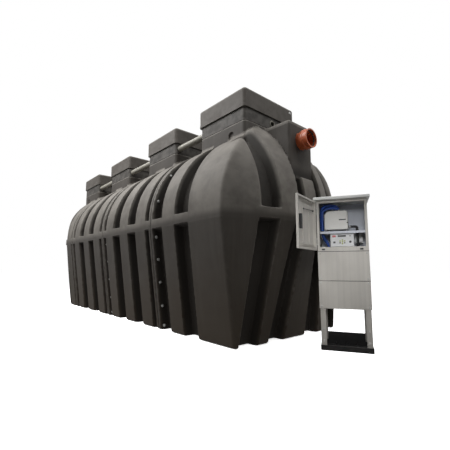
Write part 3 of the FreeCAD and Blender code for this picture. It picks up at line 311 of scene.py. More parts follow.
def grid_lines(low, high, pitch, edges=()):
    """Grid lines from low to high, closer together at edges."""
    count = round((high - low)/pitch)
    lines = [low + (high - low)*index/count for index in range(count + 1)]
    lines = [line for line in lines if all(abs(line - edge) > 0.03 for edge in edges)]
    for edge in edges:
        lines.extend(edge + offset for offset in (-0.024, -0.016, -0.008, 0.0, 0.008, 0.016, 0.024))
    lines = sorted(line for line in lines if low <= line <= high)
    kept = lines[:1]
    for line in lines[1:]:
        if line - kept[-1] > 0.004:
            kept.append(line)
    return np.array(kept)


def both_sides(edges):
    """Edges on both sides of a middle plane."""
    return tuple(-edge for edge in edges) + tuple(edges)


CELL_CORNERS = [(i, j, k) for i in (0, 1) for j in (0, 1) for k in (0, 1)]


def cell_points(values, cells, axes):
    """One point in each cell, amid the places where the surface crosses its edges."""
    total = np.zeros((len(cells), 3))
    count = np.zeros(len(cells))
    for one in CELL_CORNERS:
        for axis in range(3):
            if one[axis]:
                continue
            start = cells + one
            stop = start + (np.arange(3) == axis)
            first, last = values[tuple(start.T)], values[tuple(stop.T)]
            cross = (first < 0) != (last < 0)
            share = np.where(cross, first/np.where(cross, first - last, 1), 0)
            point = np.stack([axes[other][start[:, other]] for other in range(3)], axis=1)
            point[:, axis] += share*(axes[axis][stop[:, axis]] - axes[axis][start[:, axis]])
            total[cross] += point[cross]
            count[cross] += 1
    return total/count[:, None]


def cell_faces(inside, number):
    """A face round each grid edge that the surface crosses, from the points of the cells about it."""
    faces = []
    for axis in range(3):
        one, two = [other for other in range(3) if other != axis]
        places = np.argwhere(np.diff(inside, axis=axis))
        leaving = inside[tuple(places.T)]
        ring = []
        for back_one, back_two in ((1, 1), (0, 1), (0, 0), (1, 0)):
            cell = places.copy()
            cell[:, one] -= back_one
            cell[:, two] -= back_two
            ring.append(number[tuple(cell.T)])
        quads = np.stack(ring, axis=1)
        flip = leaving if axis == 1 else ~leaving
        quads[flip] = quads[flip][:, ::-1]
        faces.append(quads)
    return np.concatenate(faces)


def skin(name, form, xs, ys, zs):
    """A closed mesh where a form's field is zero, with one point in each grid cell that it crosses."""
    field = form.field
    half = ys[ys >= -1e-9]
    lines = form.across(half[None, :, None], zs[None, None, :])
    values = field(xs[:, None, None], lines, zs[None, None, :])
    values = np.concatenate([values[:, :0:-1, :], values], axis=1)
    axes = (xs, np.concatenate([-half[:0:-1], half]), zs)
    inside = values < 0
    shape = tuple(length - 1 for length in values.shape)
    filled = np.zeros(shape, int)
    for i, j, k in CELL_CORNERS:
        filled += inside[i:i + shape[0], j:j + shape[1], k:k + shape[2]]
    active = (filled > 0) & (filled < len(CELL_CORNERS))
    cells = np.argwhere(active)
    number = np.full(shape, -1)
    number[active] = np.arange(len(cells))
    points = cell_points(values, cells, axes)
    points[:, 1] = form.across(points[:, 1], points[:, 2])
    points = settle(field, points)
    data = bpy.data.meshes.new(name)
    data.from_pydata(points.tolist(), [], cell_faces(inside, number).tolist())
    # Painted shade: how deep each point lies below the outline, used to darken the grooves in the tank's
    # colour.
    depth = data.attributes.new("groove_shade", "FLOAT", "POINT")
    depth.data.foreach_set("value", np.clip(-form.outline(*points.T)/GROOVE, 0, 1).astype(np.float32))
    data.shade_smooth()
    slope = slope_of(field, points)
    slope /= np.maximum(np.linalg.norm(slope, axis=1), 1e-6)[:, None]
    data.normals_split_custom_set_from_vertices(slope.tolist())
    return data


def slope_of(field, points):
    """How steeply a field rises at points, along each axis."""
    reach = 0.0015
    rises = [field(*(points + offset).T) - field(*(points - offset).T) for offset in reach*np.eye(3)]
    return np.stack(rises, axis=1)/(2*reach)


def settle(field, points):
    """Points moved onto the surface, along the field's slope."""
    most = 0.006
    for _ in range(3):
        slope = slope_of(field, points)
        size = np.maximum((slope**2).sum(axis=1), 0.2)
        points = points - np.clip((field(*points.T)/size)[:, None]*slope, -most, most)
    return points


# Node groups for finishes

class Graph:
    """Short names for building a node tree."""

    def __init__(self, tree):
        self.tree = tree

    def node(self, kind, **settings):
        item = self.tree.nodes.new(kind)
        for name, value in settings.items():
            setattr(item, name, value)
        return item

    def link(self, source, target):
        self.tree.links.new(source, target)

    def feed(self, value, target):
        """Link a socket to a target, or set a plain value or colour on it."""
        if hasattr(value, "is_linked"):
            self.link(value, target)
        else:
            target.default_value = (*value, 1.0) if isinstance(value, tuple) else value

    def place(self, scale=(1, 1, 1), turn=0.0):
        """Places on the object, stretched and turned about the vertical."""
        mapping = self.node("ShaderNodeMapping")
        mapping.inputs["Scale"].default_value = scale
        mapping.inputs["Rotation"].default_value = (0, 0, turn)
        self.link(self.node("ShaderNodeTexCoord").outputs["Object"], mapping.inputs["Vector"])
        return mapping.outputs["Vector"]

    def upright(self, vector):
        """The vertical part of a vector."""
        split = self.node("ShaderNodeSeparateXYZ")
        self.link(vector, split.inputs[0])
        return split.outputs["Z"]

    def noise(self, place, scale, detail, roughness=0.5):
        """Cloudy noise over places."""
        item = self.node("ShaderNodeTexNoise")
        self.link(place, item.inputs["Vector"])
        self.link(scale, item.inputs["Scale"])
        item.inputs["Detail"].default_value = detail
        item.inputs["Roughness"].default_value = roughness
        return item.outputs["Fac"]

    def math(self, operation, *values, clamp=False):
        item = self.node("ShaderNodeMath", operation=operation, use_clamp=clamp)
        for socket, value in zip(item.inputs, values):
            self.feed(value, socket)
        return item.outputs[0]

    def ramp(self, value, start, end):
        """0 at start and 1 at end, whichever is the greater."""
        item = self.node("ShaderNodeMapRange", interpolation_type="SMOOTHSTEP")
        self.link(value, item.inputs["Value"])
        self.feed(start, item.inputs["From Min"])
        self.feed(end, item.inputs["From Max"])
        return item.outputs["Result"]

    def blend(self, share, one, two):
        """A colour between two colours."""
        item = self.node("ShaderNodeMix", data_type="RGBA")
        for index, value in ((0, share), (6, one), (7, two)):
            self.feed(value, item.inputs[index])
        return item.outputs[2]


def new_group(name, inputs, outputs):
    """An empty node group with named value sockets: its tree, graph, inputs and outputs."""
    tree = bpy.data.node_groups.new(name, "ShaderNodeTree")
    for label, value in inputs.items():
        socket = tree.interface.new_socket(name=label, in_out="INPUT", socket_type="NodeSocketFloat")
        socket.default_value = value
    for label in outputs:
        tree.interface.new_socket(name=label, in_out="OUTPUT", socket_type="NodeSocketFloat")
    graph = Graph(tree)
    return tree, graph, graph.node("NodeGroupInput").outputs, graph.node("NodeGroupOutput").inputs


def moulding_grain_group():
    """Fine grain and soft mottling of moulded plastic."""
    tree, graph, given, result = new_group("Moulding grain", {"Grain scale": 420.0, "Mottle scale": 4.0},
                                           ("Height", "Mottle"))
    place = graph.place()
    graph.link(graph.noise(place, given["Grain scale"], detail=2.0), result["Height"])
    mottle = graph.noise(place, given["Mottle scale"], detail=6.0, roughness=0.62)
    graph.link(graph.ramp(mottle, 0.32, 0.68), result["Mottle"])
    return tree


def edge_wear_group():
    """Where edges are rubbed: ridges of the shape, broken up by noise."""
    tree, graph, given, result = new_group("Edge wear", {"Sharpness": 0.06, "Break-up": 14.0}, ("Mask",))
    point = graph.node("ShaderNodeNewGeometry").outputs["Pointiness"]
    ridge = graph.ramp(point, 0.505, graph.math("ADD", given["Sharpness"], 0.5))
    broken = graph.ramp(graph.noise(graph.place(), given["Break-up"], detail=5.0), 0.36, 0.62)
    graph.link(graph.math("MULTIPLY", ridge, broken), result["Mask"])
    return tree


def dust_and_sheen_group():
    """Dust on the belt's upper half, and above it on what faces up, together with painted top light and sheen
    there:
    whole from a given slope on, and thinner where it has been washed off."""
    tree, graph, given, result = new_group("Settled dust and sheen", {"Whole from": 1.0, "Patch scale": 6.0}, ("Mask",))
    normal = graph.node("ShaderNodeNewGeometry").outputs["Normal"]
    facing = graph.ramp(graph.upright(normal), 0.0, given["Whole from"])
    place = graph.place()
    height = graph.upright(place)
    above_belt = graph.ramp(height, BELT_LOW + 0.02, BELT_TOP - 0.01)
    near_belt = graph.ramp(height, BELT_TOP + 0.12, BELT_TOP + 0.02)
    settled = graph.math("MULTIPLY", graph.math("MAXIMUM", facing, near_belt), above_belt)
    patches = graph.noise(place, given["Patch scale"], detail=7.0, roughness=0.6)
    patches = graph.ramp(patches, 0.25, 0.7)
    graph.link(graph.math("MULTIPLY", settled, graph.math("MULTIPLY_ADD", patches, 0.6, 0.4)), result["Mask"])
    return tree


def run_marks_group():
    """Upright marks that water leaves on a wall."""
    tree, graph, given, result = new_group("Run marks", {"Spacing": 18.0}, ("Mask",))
    marks = graph.noise(graph.place(scale=(1, 1, 0.06)), given["Spacing"], detail=6.0, roughness=0.65)
    graph.link(graph.ramp(marks, 0.45, 0.75), result["Mask"])
    return tree


def ground_soil_group():
    """Soil splashed up from the ground: thick at the foot and gone at a given height."""
    tree, graph, given, result = new_group("Ground soil", {"Top": 1.0, "Patch scale": 3.0}, ("Mask",))
    place = graph.place()
    patches = graph.noise(place, given["Patch scale"], detail=6.0)
    uneven = graph.math("MULTIPLY_ADD", patches, 0.5, graph.upright(place))
    thick = graph.math("SUBTRACT", given["Top"], 0.9)
    gone = graph.math("ADD", given["Top"], 0.25)
    graph.link(graph.ramp(uneven, gone, thick), result["Mask"])
    return tree


def panel_lines_group():
    """Faint upright lines of a drawn panel."""
    tree, graph, given, result = new_group("Panel lines", {"Line scale": 55.0}, ("Height", "Shade"))
    place = graph.place(scale=(1, 0.02, 0.004), turn=-CABINET_TURN)
    lines = graph.noise(place, given["Line scale"], detail=4.0, roughness=0.7)
    graph.link(lines, result["Height"])
    graph.link(graph.ramp(lines, 0.42, 0.62), result["Shade"])
    return tree


GRAIN = moulding_grain_group()
WEAR = edge_wear_group()
DUST_AND_SHEEN = dust_and_sheen_group()
RUNS = run_marks_group()
SOIL = ground_soil_group()
LINES = panel_lines_group()


class Finish:
    """A material under way, with its colour and roughness so far."""

    def __init__(self, name, colour, roughness, metallic=0.0, specular=0.5):
        self.material = bpy.data.materials.new(name)
        self.material.use_nodes = True
        self.graph = Graph(self.material.node_tree)
        self.shader = self.material.node_tree.nodes["Principled BSDF"].inputs
        for socket, value in (("Base Color", colour), ("Roughness", roughness), ("Metallic", metallic),
                              ("Specular IOR Level", specular)):
            self.graph.feed(value, self.shader[socket])
        self.colour = colour
        self.roughness = roughness
        self.normal = None

    def effect(self, group, **values):
        """The outputs of a shared effect, with this material's own values."""
        item = self.graph.node("ShaderNodeGroup", node_tree=group)
        for name, value in values.items():
            item.inputs[name.replace("_", " ")].default_value = value
        return item.outputs

    def tint(self, mask, colour, amount, roughness=None):
        """Lay another colour over the surface where a mask says."""
        share = self.graph.math("MULTIPLY", mask, amount, clamp=True)
        self.colour = self.graph.blend(share, self.colour, colour)
        self.graph.link(self.colour, self.shader["Base Color"])
        if roughness is not None:
            rough = self.graph.node("ShaderNodeMix", data_type="FLOAT")
            for index, value in ((0, share), (2, self.roughness), (3, roughness)):
                self.graph.feed(value, rough.inputs[index])
            self.roughness = rough.outputs[0]
            self.graph.link(self.roughness, self.shader["Roughness"])

    def relief(self, height, strength, distance):
        """Small relief in the surface."""
        bump = self.graph.node("ShaderNodeBump")
        bump.inputs["Strength"].default_value = strength
        bump.inputs["Distance"].default_value = distance
        self.graph.link(height, bump.inputs["Height"])
        if self.normal is not None:
            self.graph.link(self.normal, bump.inputs["Normal"])
        self.normal = bump.outputs["Normal"]
        self.graph.link(self.normal, self.shader["Normal"])


def tank_finish(name, base, dark, dust_and_sheen_share):
    """Dark warm grey moulded plastic: dusty on top with a painted sheen there, rubbed on edges, soiled low
    down, and darkened in the grooves with painted shade.
    """
    finish = Finish(name, base, roughness=0.6, specular=0.22)
    grain = finish.effect(GRAIN, Grain_scale=260.0, Mottle_scale=2.6)
    runs = finish.effect(RUNS, Spacing=9.0)
    soil = finish.effect(SOIL, Top=1.05)
    dust_and_sheen = finish.effect(DUST_AND_SHEEN, Whole_from=0.03, Patch_scale=5.0)
    wear = finish.effect(WEAR, Sharpness=0.07)
    depth = finish.graph.node("ShaderNodeAttribute", attribute_name="groove_shade").outputs["Fac"]
    groove_shade = finish.graph.ramp(depth, 0.06, 0.45)
    # Mask, colour, amount and roughness of each layer, from the lowest up
    for layer in ((grain["Mottle"], dark, 0.7, 0.66),
                  (runs["Mask"], (0.11, 0.102, 0.09), 0.25, 0.7),
                  (soil["Mask"], (0.04, 0.029, 0.018), 0.75, 0.78),
                  # Partly real dust, partly painted top light and sheen: upward faces are made lighter.
                  (dust_and_sheen["Mask"], (0.253, 0.236, 0.211), dust_and_sheen_share, 0.75),
                  (wear["Mask"], (0.2, 0.188, 0.17), 0.35, 0.5),
                  # Painted shade: the grooves are darkened in the colour, where the ribs shade them.
                  (groove_shade, (0.013, 0.011, 0.009), 0.85, 0.8)):
        finish.tint(*layer)
    finish.relief(grain["Height"], strength=0.25, distance=0.0012)
    return finish


def plain_moulding(name, colour, roughness, dark, grain_scale=500.0, wear_colour=None, relief=0.15,
                   specular=0.5):
    """A small moulding in one colour with grain and slight soiling."""
    finish = Finish(name, colour, roughness, specular=specular)
    grain = finish.effect(GRAIN, Grain_scale=grain_scale, Mottle_scale=9.0)
    finish.tint(grain["Mottle"], dark, amount=0.45, roughness=min(1.0, roughness + 0.08))
    if wear_colour:
        finish.tint(finish.effect(WEAR, Sharpness=0.1)["Mask"], wear_colour, amount=0.35)
    finish.relief(grain["Height"], strength=relief, distance=0.0006)
    return finish


def cabinet_finish():
    """Light warm grey panels with faint upright lines."""
    finish = plain_moulding("Cabinet panel", (0.57, 0.547, 0.505), 0.48, (0.51, 0.487, 0.445), 700.0)
    lines = finish.effect(LINES)
    finish.tint(lines["Shade"], (0.44, 0.425, 0.4), amount=0.32)
    finish.tint(finish.effect(RUNS, Spacing=26.0)["Mask"], (0.4, 0.37, 0.33), amount=0.16, roughness=0.6)
    finish.relief(lines["Height"], strength=0.12, distance=0.002)
    return finish


def metal_finish(name, colour, roughness, dark):
    """Plated metal with a fine grain."""
    finish = Finish(name, colour, roughness, metallic=1.0)
    grain = finish.effect(GRAIN, Grain_scale=900.0, Mottle_scale=30.0)
    finish.tint(grain["Mottle"], dark, amount=0.6, roughness=roughness + 0.15)
    finish.relief(grain["Height"], strength=0.1, distance=0.0004)
    return finish


TANK = tank_finish("Tank moulding", (0.05, 0.0435, 0.037), (0.038, 0.033, 0.028), 0.68)
LID = tank_finish("Lid moulding", (0.068, 0.06, 0.052), (0.053, 0.046, 0.039), 0.45)
# Painted shade: the risers are a darker, less dusty copy of the lid moulding, for the shadow under the lids'
# rims.
SHADED_RISER = tank_finish("Riser moulding in painted shade", (0.036, 0.032, 0.028), (0.027, 0.024, 0.021), 0.2)
CABINET_PANEL = cabinet_finish()
GASKET_RUBBER = plain_moulding("Gasket rubber", (0.012, 0.012, 0.012), 0.75, (0.02, 0.019, 0.018))
GREY_PIPE = plain_moulding("Grey pipe", (0.27, 0.256, 0.215), 0.5, (0.18, 0.168, 0.14))
ORANGE_PIPE = plain_moulding("Orange pipe", (0.52, 0.115, 0.035), 0.34, (0.42, 0.085, 0.028),
                             wear_colour=(0.62, 0.2, 0.09))
BLACK_FRAME = plain_moulding("Black frame", (0.012, 0.012, 0.012), 0.6, (0.018, 0.017, 0.016),
                             wear_colour=(0.06, 0.057, 0.054), specular=0.15)
LINING = plain_moulding("Housing lining", (0.62, 0.65, 0.72), 0.5, (0.55, 0.58, 0.65))
ROOF = plain_moulding("Roof cap", (0.74, 0.75, 0.73), 0.45, (0.66, 0.67, 0.65))
BLOWER = plain_moulding("Blower case", (0.76, 0.75, 0.72), 0.5, (0.69, 0.68, 0.65),
                        wear_colour=(0.8, 0.79, 0.77))
RUBBER = plain_moulding("Black rubber", (0.012, 0.012, 0.013), 0.6, (0.02, 0.02, 0.02))
BLUE_HOSE = plain_moulding("Blue hose", (0.018, 0.065, 0.3), 0.42, (0.012, 0.045, 0.22))
CONTROLLER = plain_moulding("Controller case", (0.74, 0.75, 0.76), 0.45, (0.67, 0.68, 0.69))
LATCH = plain_moulding("Black latch", (0.014, 0.014, 0.015), 0.42, (0.022, 0.022, 0.022))
ZINC = metal_finish("Zinc plate", (0.42, 0.42, 0.41), 0.42, (0.3, 0.3, 0.29))
DARK_GLASS = plain_moulding("Dark window", (0.008, 0.009, 0.011), 0.3, (0.011, 0.012, 0.014), relief=0.02,
                            specular=0.2)
RED_KEY = plain_moulding("Red window", (0.42, 0.03, 0.035), 0.35, (0.34, 0.024, 0.028))
GREEN_KEY = plain_moulding("Green keys", (0.36, 0.4, 0.09), 0.45, (0.3, 0.33, 0.07))
WHITE_PLUG = plain_moulding("White plug", (0.8, 0.8, 0.78), 0.4, (0.72, 0.72, 0.7))


# Tank

def tank_skins():
    """The four moulded tank modules."""
    heights = (0.0, BELT_LOW, BELT_TOP)
    seam = SEAM - 0.006
    xs = grid_lines(-0.72, 0.72, 0.026, both_sides((MIDDLE_RIB, *SIDE_RIB, FLANGE_START, MODULE_HALF)))
    ys = grid_lines(-0.92, 0.92, 0.02, (-TURRET_WIDTH/2, TURRET_WIDTH/2, 0.0))
    zs = grid_lines(-0.03, 2.17, 0.021, (*heights, seam))
    data = skin("middle module", Middle(), xs, ys, zs)
    for number, place in ((1, 0.0), (2, -PITCH)):
        copy = data.copy() if number > 1 else data
        copy.transform(Matrix.Translation((place, 0, 0)))
        piece = new_piece(f"middle_module_skin_{number}", copy, TANK)
        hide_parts(f"middle_module_{number}")
    inlet = End(rib=(0.238, 0.482), panel=0.704, corner=1.19, shoulder=(1.345, 0.585, 0.686), brow=1.462,
                foot=1.23, turret=0.597, box_front=1.354)
    outlet = End(rib=(0.08, 0.33), panel=0.45, corner=0.4, shoulder=(1.0, 0.54, 0.56), brow=1.24,
                 foot=1.03, turret=0.651, box_front=1.15)
    zs = grid_lines(-0.03, 2.17, 0.019, (*heights, BOX_FOOT, seam))
    for name, end, turn, place in (("inlet", inlet, 0.0, PITCH/2), ("outlet", outlet, math.pi, -1.5*PITCH)):
        xs = grid_lines(-0.02, end.brow + 0.03, 0.018, (GASKET/2, END_FLANGE, *end.rib, end.panel, end.face))
        ys = grid_lines(-0.94, 0.94, 0.018, (*both_sides(end.rib_edges[1:-1]), 0.0))
        data = skin(f"{name} end", end, xs, ys, zs)
        data.transform(placed((place, 0, 0), turn))
        piece = new_piece(f"{name}_end_skin", data, TANK)
        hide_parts(f"{name}_end_module", f"{name}_box")


tank_skins()


# Look of the other nodes

def softened(name, width, finish, segments=2, body="plant"):
    """A copy of a CAD node with rounded edges, in the node's place."""
    flat, sharp_from = math.radians(0.4), math.radians(35)
    bm = bmesh.new()
    bm.from_mesh(nodes[name].data)
    bmesh.ops.remove_doubles(bm, verts=bm.verts, dist=1e-5)
    bmesh.ops.dissolve_limit(bm, angle_limit=flat, verts=bm.verts, edges=bm.edges)
    sharp = [edge for edge in bm.edges if len(edge.link_faces) == 2 and edge.calc_face_angle() > sharp_from]
    bmesh.ops.bevel(bm, geom=sharp, offset=width, segments=segments, profile=0.5, affect="EDGES",
                    clamp_overlap=True)
    piece = new_piece(f"{name}_finished", mesh_from(bm, f"{name} finished"), finish, body)
    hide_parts(name)
    even_shading(piece)


for number in range(1, 5):
    softened(f"turret_lid_{number}", 0.006, LID)
    softened(f"turret_riser_{number}", 0.006, SHADED_RISER)
for number in range(1, 4):
    softened(f"conduit_{number}", 0.001, GREY_PIPE)
    softened(f"flange_gasket_{number}", 0.001, GASKET_RUBBER)
for name in ("inlet_socket", "outlet_socket"):
    softened(name, 0.002, ORANGE_PIPE)
# Painted highlight: the port's rim takes the conduits' light grey, for the light it catches.
softened("riser_port", 0.002, GREY_PIPE)
for name in ("lower_plinth", "upper_plinth", "plinth_legs", "door_frame", "housing_left_wall",
             "housing_right_wall", "housing_floor"):
    softened(name, 0.0012, CABINET_PANEL)
softened("cabinet_roof", 0.005, ROOF, segments=3)
softened("cabinet_door", 0.002, CABINET_PANEL, body="door")
softened("housing_back_wall", 0.001, LINING)
softened("equipment_shelf", 0.001, LINING)
softened("base_frame", 0.002, BLACK_FRAME)
softened("blower_housing", 0.004, BLOWER, segments=3)
softened("blower_feet", 0.002, RUBBER)
softened("small_hose", 0.001, RUBBER)
softened("controller_box", 0.004, CONTROLLER, segments=3)
softened("junction_box", 0.004, CONTROLLER, segments=3)
softened("hinge_pins", 0.0006, ZINC)
softened("door_latch", 0.003, LATCH, body="door")
softened("door_hinge_barrels", 0.0006, ZINC, body="door")


# Small pieces

TANK_FRAME = Matrix()
CABINET_FRAME = placed((*CABINET, 0), CABINET_TURN)
DOOR_FRAME = CABINET_FRAME @ placed((*HINGE, 0), -DOOR_OPEN)


def add_bar(bm, low, high, edge=0.001):
    """A bar between two corners, with rounded edges."""
    verts = bmesh.ops.create_cube(bm, size=1)["verts"]
    bmesh.ops.scale(bm, vec=[b - a for a, b in zip(low, high)], verts=verts)
    bmesh.ops.translate(bm, vec=[(a + b)/2 for a, b in zip(low, high)], verts=verts)
    edges = list({link for vert in verts for link in vert.link_edges})
    bmesh.ops.bevel(bm, geom=edges, offset=edge, segments=2, profile=0.5, affect="EDGES", clamp_overlap=True)


def circle(sides):
    """Cosine and sine of each corner of a ring."""
    return [(math.cos(2*math.pi*index/sides), math.sin(2*math.pi*index/sides)) for index in range(sides)]


def join_rings(bm, pairs):
    """Faces between pairs of rings."""
    for lower, upper in pairs:
        for index in range(len(lower)):
            bm.faces.new((lower[index - 1], lower[index], upper[index], upper[index - 1]))


def close_rings(bm, rings):
    """Faces between rings in a row, and a cap on both ends."""
    join_rings(bm, zip(rings, rings[1:]))
    bm.faces.new(rings[0][::-1])
    bm.faces.new(rings[-1])


def turned_rings(bm, profile, place, sides):
    """Rings of radii and heights about a place's own z axis."""
    return [[bm.verts.new(place @ Vector((radius*across, radius*up, height))) for across, up in circle(sides)]
            for radius, height in profile]


def add_turned(bm, profile, place, sides=20):
    """A closed turned form."""
    close_rings(bm, turned_rings(bm, profile, place, sides))


def hose_line(route, resolution=100):
    """Points along the smooth spline that a hose's route steers."""
    curve = bpy.data.curves.new("hose line", "CURVE")
    curve.dimensions = "3D"
    spline = curve.splines.new("NURBS")
    spline.points.add(len(route) - 1)
    for item, point in zip(spline.points, route):
        item.co = (*point, 1.0)
    spline.order_u = 3
    spline.use_endpoint_u = True
    spline.resolution_u = resolution
    carrier = bpy.data.objects.new("hose line", curve)
    line = bpy.data.meshes.new_from_object(carrier)
    points = [vert.co.copy() for vert in line.vertices]
    bpy.data.objects.remove(carrier)
    bpy.data.curves.remove(curve)
    bpy.data.meshes.remove(line)
    return points


def add_hose(bm, points, radius, pitch=1.0, depth=0.0, sides=14):
    """A closed hose along points, with grooves of a pitch and depth round it."""
    rings = []
    across = (points[1] - points[0]).orthogonal().normalized()
    length = 0.0
    for index, point in enumerate(points):
        ahead = (points[min(index + 1, len(points) - 1)] - points[max(index - 1, 0)]).normalized()
        across = (across - ahead*across.dot(ahead)).normalized()
        third = ahead.cross(across)
        if index:
            length += (point - points[index - 1]).length
        reach = radius - depth*(0.5 - 0.5*math.cos(2*math.pi*length/pitch))
        rings.append([bm.verts.new(point + (across*x + third*y)*reach) for x, y in circle(sides)])
    close_rings(bm, rings)


def trim(name, bm, finish, place=CABINET_FRAME, body="plant", soft=True):
    """A small piece made in its own frame and set in place."""
    data = mesh_from(bm, name.replace("_", " "))
    data.transform(place)
    piece = new_piece(name, data, finish, body)
    return even_shading(piece) if soft else piece


def flange_line(inset):
    """Places of the bolts along one flange: across and height."""
    line = [(between(BASE_HALF, BELT_HALF, z/BELT_LOW) - inset, z) for z in (0.045, 0.25, 0.5, 0.745, 0.985)]
    for angle in map(math.radians, (14, 38, 60)):
        reach = BELT_HALF - inset
        line.append((reach*math.cos(angle), BELT_TOP + reach*math.sin(angle)))
    return line


def flange_bolts():
    """Zinc bolt heads with washers on one side of the flange joints, and nuts on the other."""
    washer = [(0.0155, -0.001), (0.017, 0.0005), (0.017, 0.0025), (0.016, 0.0035)]
    head = [(0.0115, 0.003), (0.013, 0.004), (0.013, 0.0105), (0.0105, 0.0125)]
    stud = [(0.0075, 0.012), (0.0075, 0.017), (0.006, 0.0185)]
    seat = END_FLANGE - 0.0005
    bm = bmesh.new()
    for joint in (0.5*PITCH, -0.5*PITCH, -1.5*PITCH):
        for across, height in flange_line(0.046):
            for side in (-1, 1):
                for facing in (1, -1):
                    place = placed((joint + facing*seat, side*across, height), facing*QUARTER, "Y")
                    add_turned(bm, washer, place)
                    add_turned(bm, head, place @ Matrix.Rotation(height*9, 4, "Z"), sides=6)
                    if facing < 0:
                        add_turned(bm, stud, place, sides=12)
    trim("flange_bolts", bm, ZINC, TANK_FRAME)


def lid_plug():
    """A small white plug in the inlet lid's end face."""
    face = INLET_TURRET + TURRET_LENGTH/2 + 0.016
    bm = bmesh.new()
    add_bar(bm, (face - 0.003, 0.318, 2.426), (face + 0.004, 0.352, 2.448), 0.003)
    add_bar(bm, (face + 0.003, 0.325, 2.431), (face + 0.0065, 0.345, 2.443), 0.002)
    trim("lid_plug", bm, WHITE_PLUG, TANK_FRAME)


def socket_seals():
    """Black sealing rings just inside the mouths of both pipe sockets."""
    profile = [(0.0815, -0.026), (0.0805, -0.018), (0.0765, -0.021), (0.0745, -0.026), (0.0765, -0.031),
               (0.0805, -0.034)]
    bm = bmesh.new()
    for mouth, height, facing in ((2.177, 1.888, 1), (-3.373, 1.835, -1)):
        rings = turned_rings(bm, profile, placed((mouth, 0, height), facing*QUARTER, "Y"), sides=48)
        join_rings(bm, zip(rings, rings[1:] + rings[:1]))
    trim("socket_seals", bm, GASKET_RUBBER, TANK_FRAME, soft=False)


def blower_trim():
    """A dark bar of painted shade for the slot, and a dark plug and clips, on the blower's case, from its
    lower left front corner.
    """
    plug = [(0.0055, -0.002), (0.0055, 0.0015), (0.004, 0.0025)]
    bm = bmesh.new()
    # Painted shade: a dark bar for the shaded inside of the slot.
    add_bar(bm, (0.118, -0.0015, 0.078), (0.172, 0.003, 0.087), 0.0012)
    add_turned(bm, plug, placed((0.183, 0.001, 0.056), QUARTER, "X"), sides=16)
    for side in (-0.0015, 0.1875):
        add_bar(bm, (side, 0.035, 0.03), (side + 0.003, 0.06, 0.06))
    trim("blower_trim", bm, DARK_GLASS, CABINET_FRAME @ placed((-0.138, 0.046, 0.970)))


def controller_front():
    """The controller's window, lamps, keys and rocker, without lettering, from its upper left front corner.
    Fields are in millimetres: left, top, right, bottom and how far they stand out."""
    corner = CABINET_FRAME @ placed((-0.094, 0.052, 0.951))
    panels = {
        "controller_window": (DARK_GLASS, [(59, 28, 123, 43, 1.2)]),
        "controller_lamp": (RED_KEY, [(16, 28, 43, 45, 1.6)]),
        "controller_keys": (GREEN_KEY, [(88, 64, 100, 75, 1.6), (70, 72, 82, 83, 1.6), (88, 79, 100, 90, 1.6),
                                        (106, 72, 118, 83, 1.6), (88, 94, 100, 105, 1.6)]),
        "controller_switches": (LATCH, [(22, 80, 40, 95, 2.2), (70, 88, 81, 97, 1.4), (106, 88, 117, 97, 1.4),
                                        (150, 33, 161, 40, 1.2)]),
    }
    for name, (finish, fields) in panels.items():
        bm = bmesh.new()
        for left, top, right, bottom, lift in fields:
            add_bar(bm, (left/1000, -lift/1000, -bottom/1000), (right/1000, 0.002, -top/1000), 0.0008)
        trim(name, bm, finish, corner)
    bm = bmesh.new()
    knob = [(0.0095, -0.002), (0.0095, 0.002), (0.0075, 0.0035), (0.0065, 0.0035), (0.006, 0.002)]
    add_turned(bm, knob, placed((0.155, 0.001, -0.085), QUARTER, "X"), sides=24)
    for x, width in ((0.03, 0.02), (0.045, 0.012), (0.112, 0.024), (0.15, 0.02)):
        gland = [(width/2, -0.002), (width/2, 0.006), (width/2.6, 0.009), (width/2.6, 0.016)]
        add_turned(bm, gland, placed((x, 0.03, -0.124), math.pi, "X"), sides=14)
    trim("controller_glands", bm, LATCH, corner)


def junction_cover():
    """A screwed cover with a round gland in its middle, from the junction box's lower left front corner."""
    screw = [(0.0035, -0.001), (0.0035, 0.002), (0.0022, 0.0026)]
    gland = [(0.014, -0.001), (0.014, 0.004), (0.011, 0.006)]
    bm = bmesh.new()
    add_bar(bm, (0.005, -0.004, 0.005), (0.065, 0.001, 0.081), 0.002)
    for x in (0.011, 0.059):
        for z in (0.012, 0.074):
            add_turned(bm, screw, placed((x, -0.003, z), QUARTER, "X"), sides=12)
    add_turned(bm, gland, placed((0.035, -0.003, 0.052), QUARTER, "X"))
    trim("junction_cover", bm, CONTROLLER, CABINET_FRAME @ placed((0.096, 0.162, 0.865)))


def frame_plugs():
    """Black plugs in the door frame's lower rail, and a black seal down its left stile."""
    bm = bmesh.new()
    for x in (-0.150, 0.142):
        add_bar(bm, (x - 0.013, -0.004, 0.797), (x + 0.013, 0.003, 0.810), 0.003)
    add_bar(bm, (-0.177, -0.0035, 0.83), (-0.1715, 0.004, 1.19), 0.0012)
    trim("frame_plugs", bm, LATCH)


def door_lining():
    """A raised double frame and two stiffening ribs inside the door's tray."""
    floor, wide, edge = -0.0065, 0.006, 0.0015
    bm = bmesh.new()
    for inset, lift in ((0.024, 0.009), (0.037, 0.006)):
        x0, x1, z0, z1 = 0.011 + inset, 0.397 - inset, 0.794 + inset, 1.204 - inset
        top = floor + lift
        for left, low, right, high in ((x0, z0, x0 + wide, z1), (x1 - wide, z0, x1, z1),
                                       (x0 + wide, z0, x1 - wide, z0 + wide),
                                       (x0 + wide, z1 - wide, x1 - wide, z1)):
            add_bar(bm, (left, floor, low), (right, top, high), edge)
    for x in (0.135, 0.265):
        add_bar(bm, (x, floor, 0.845), (x + 0.018, floor + 0.007, 1.153), 0.003)
    trim("door_lining", bm, CABINET_PANEL, DOOR_FRAME, "door")


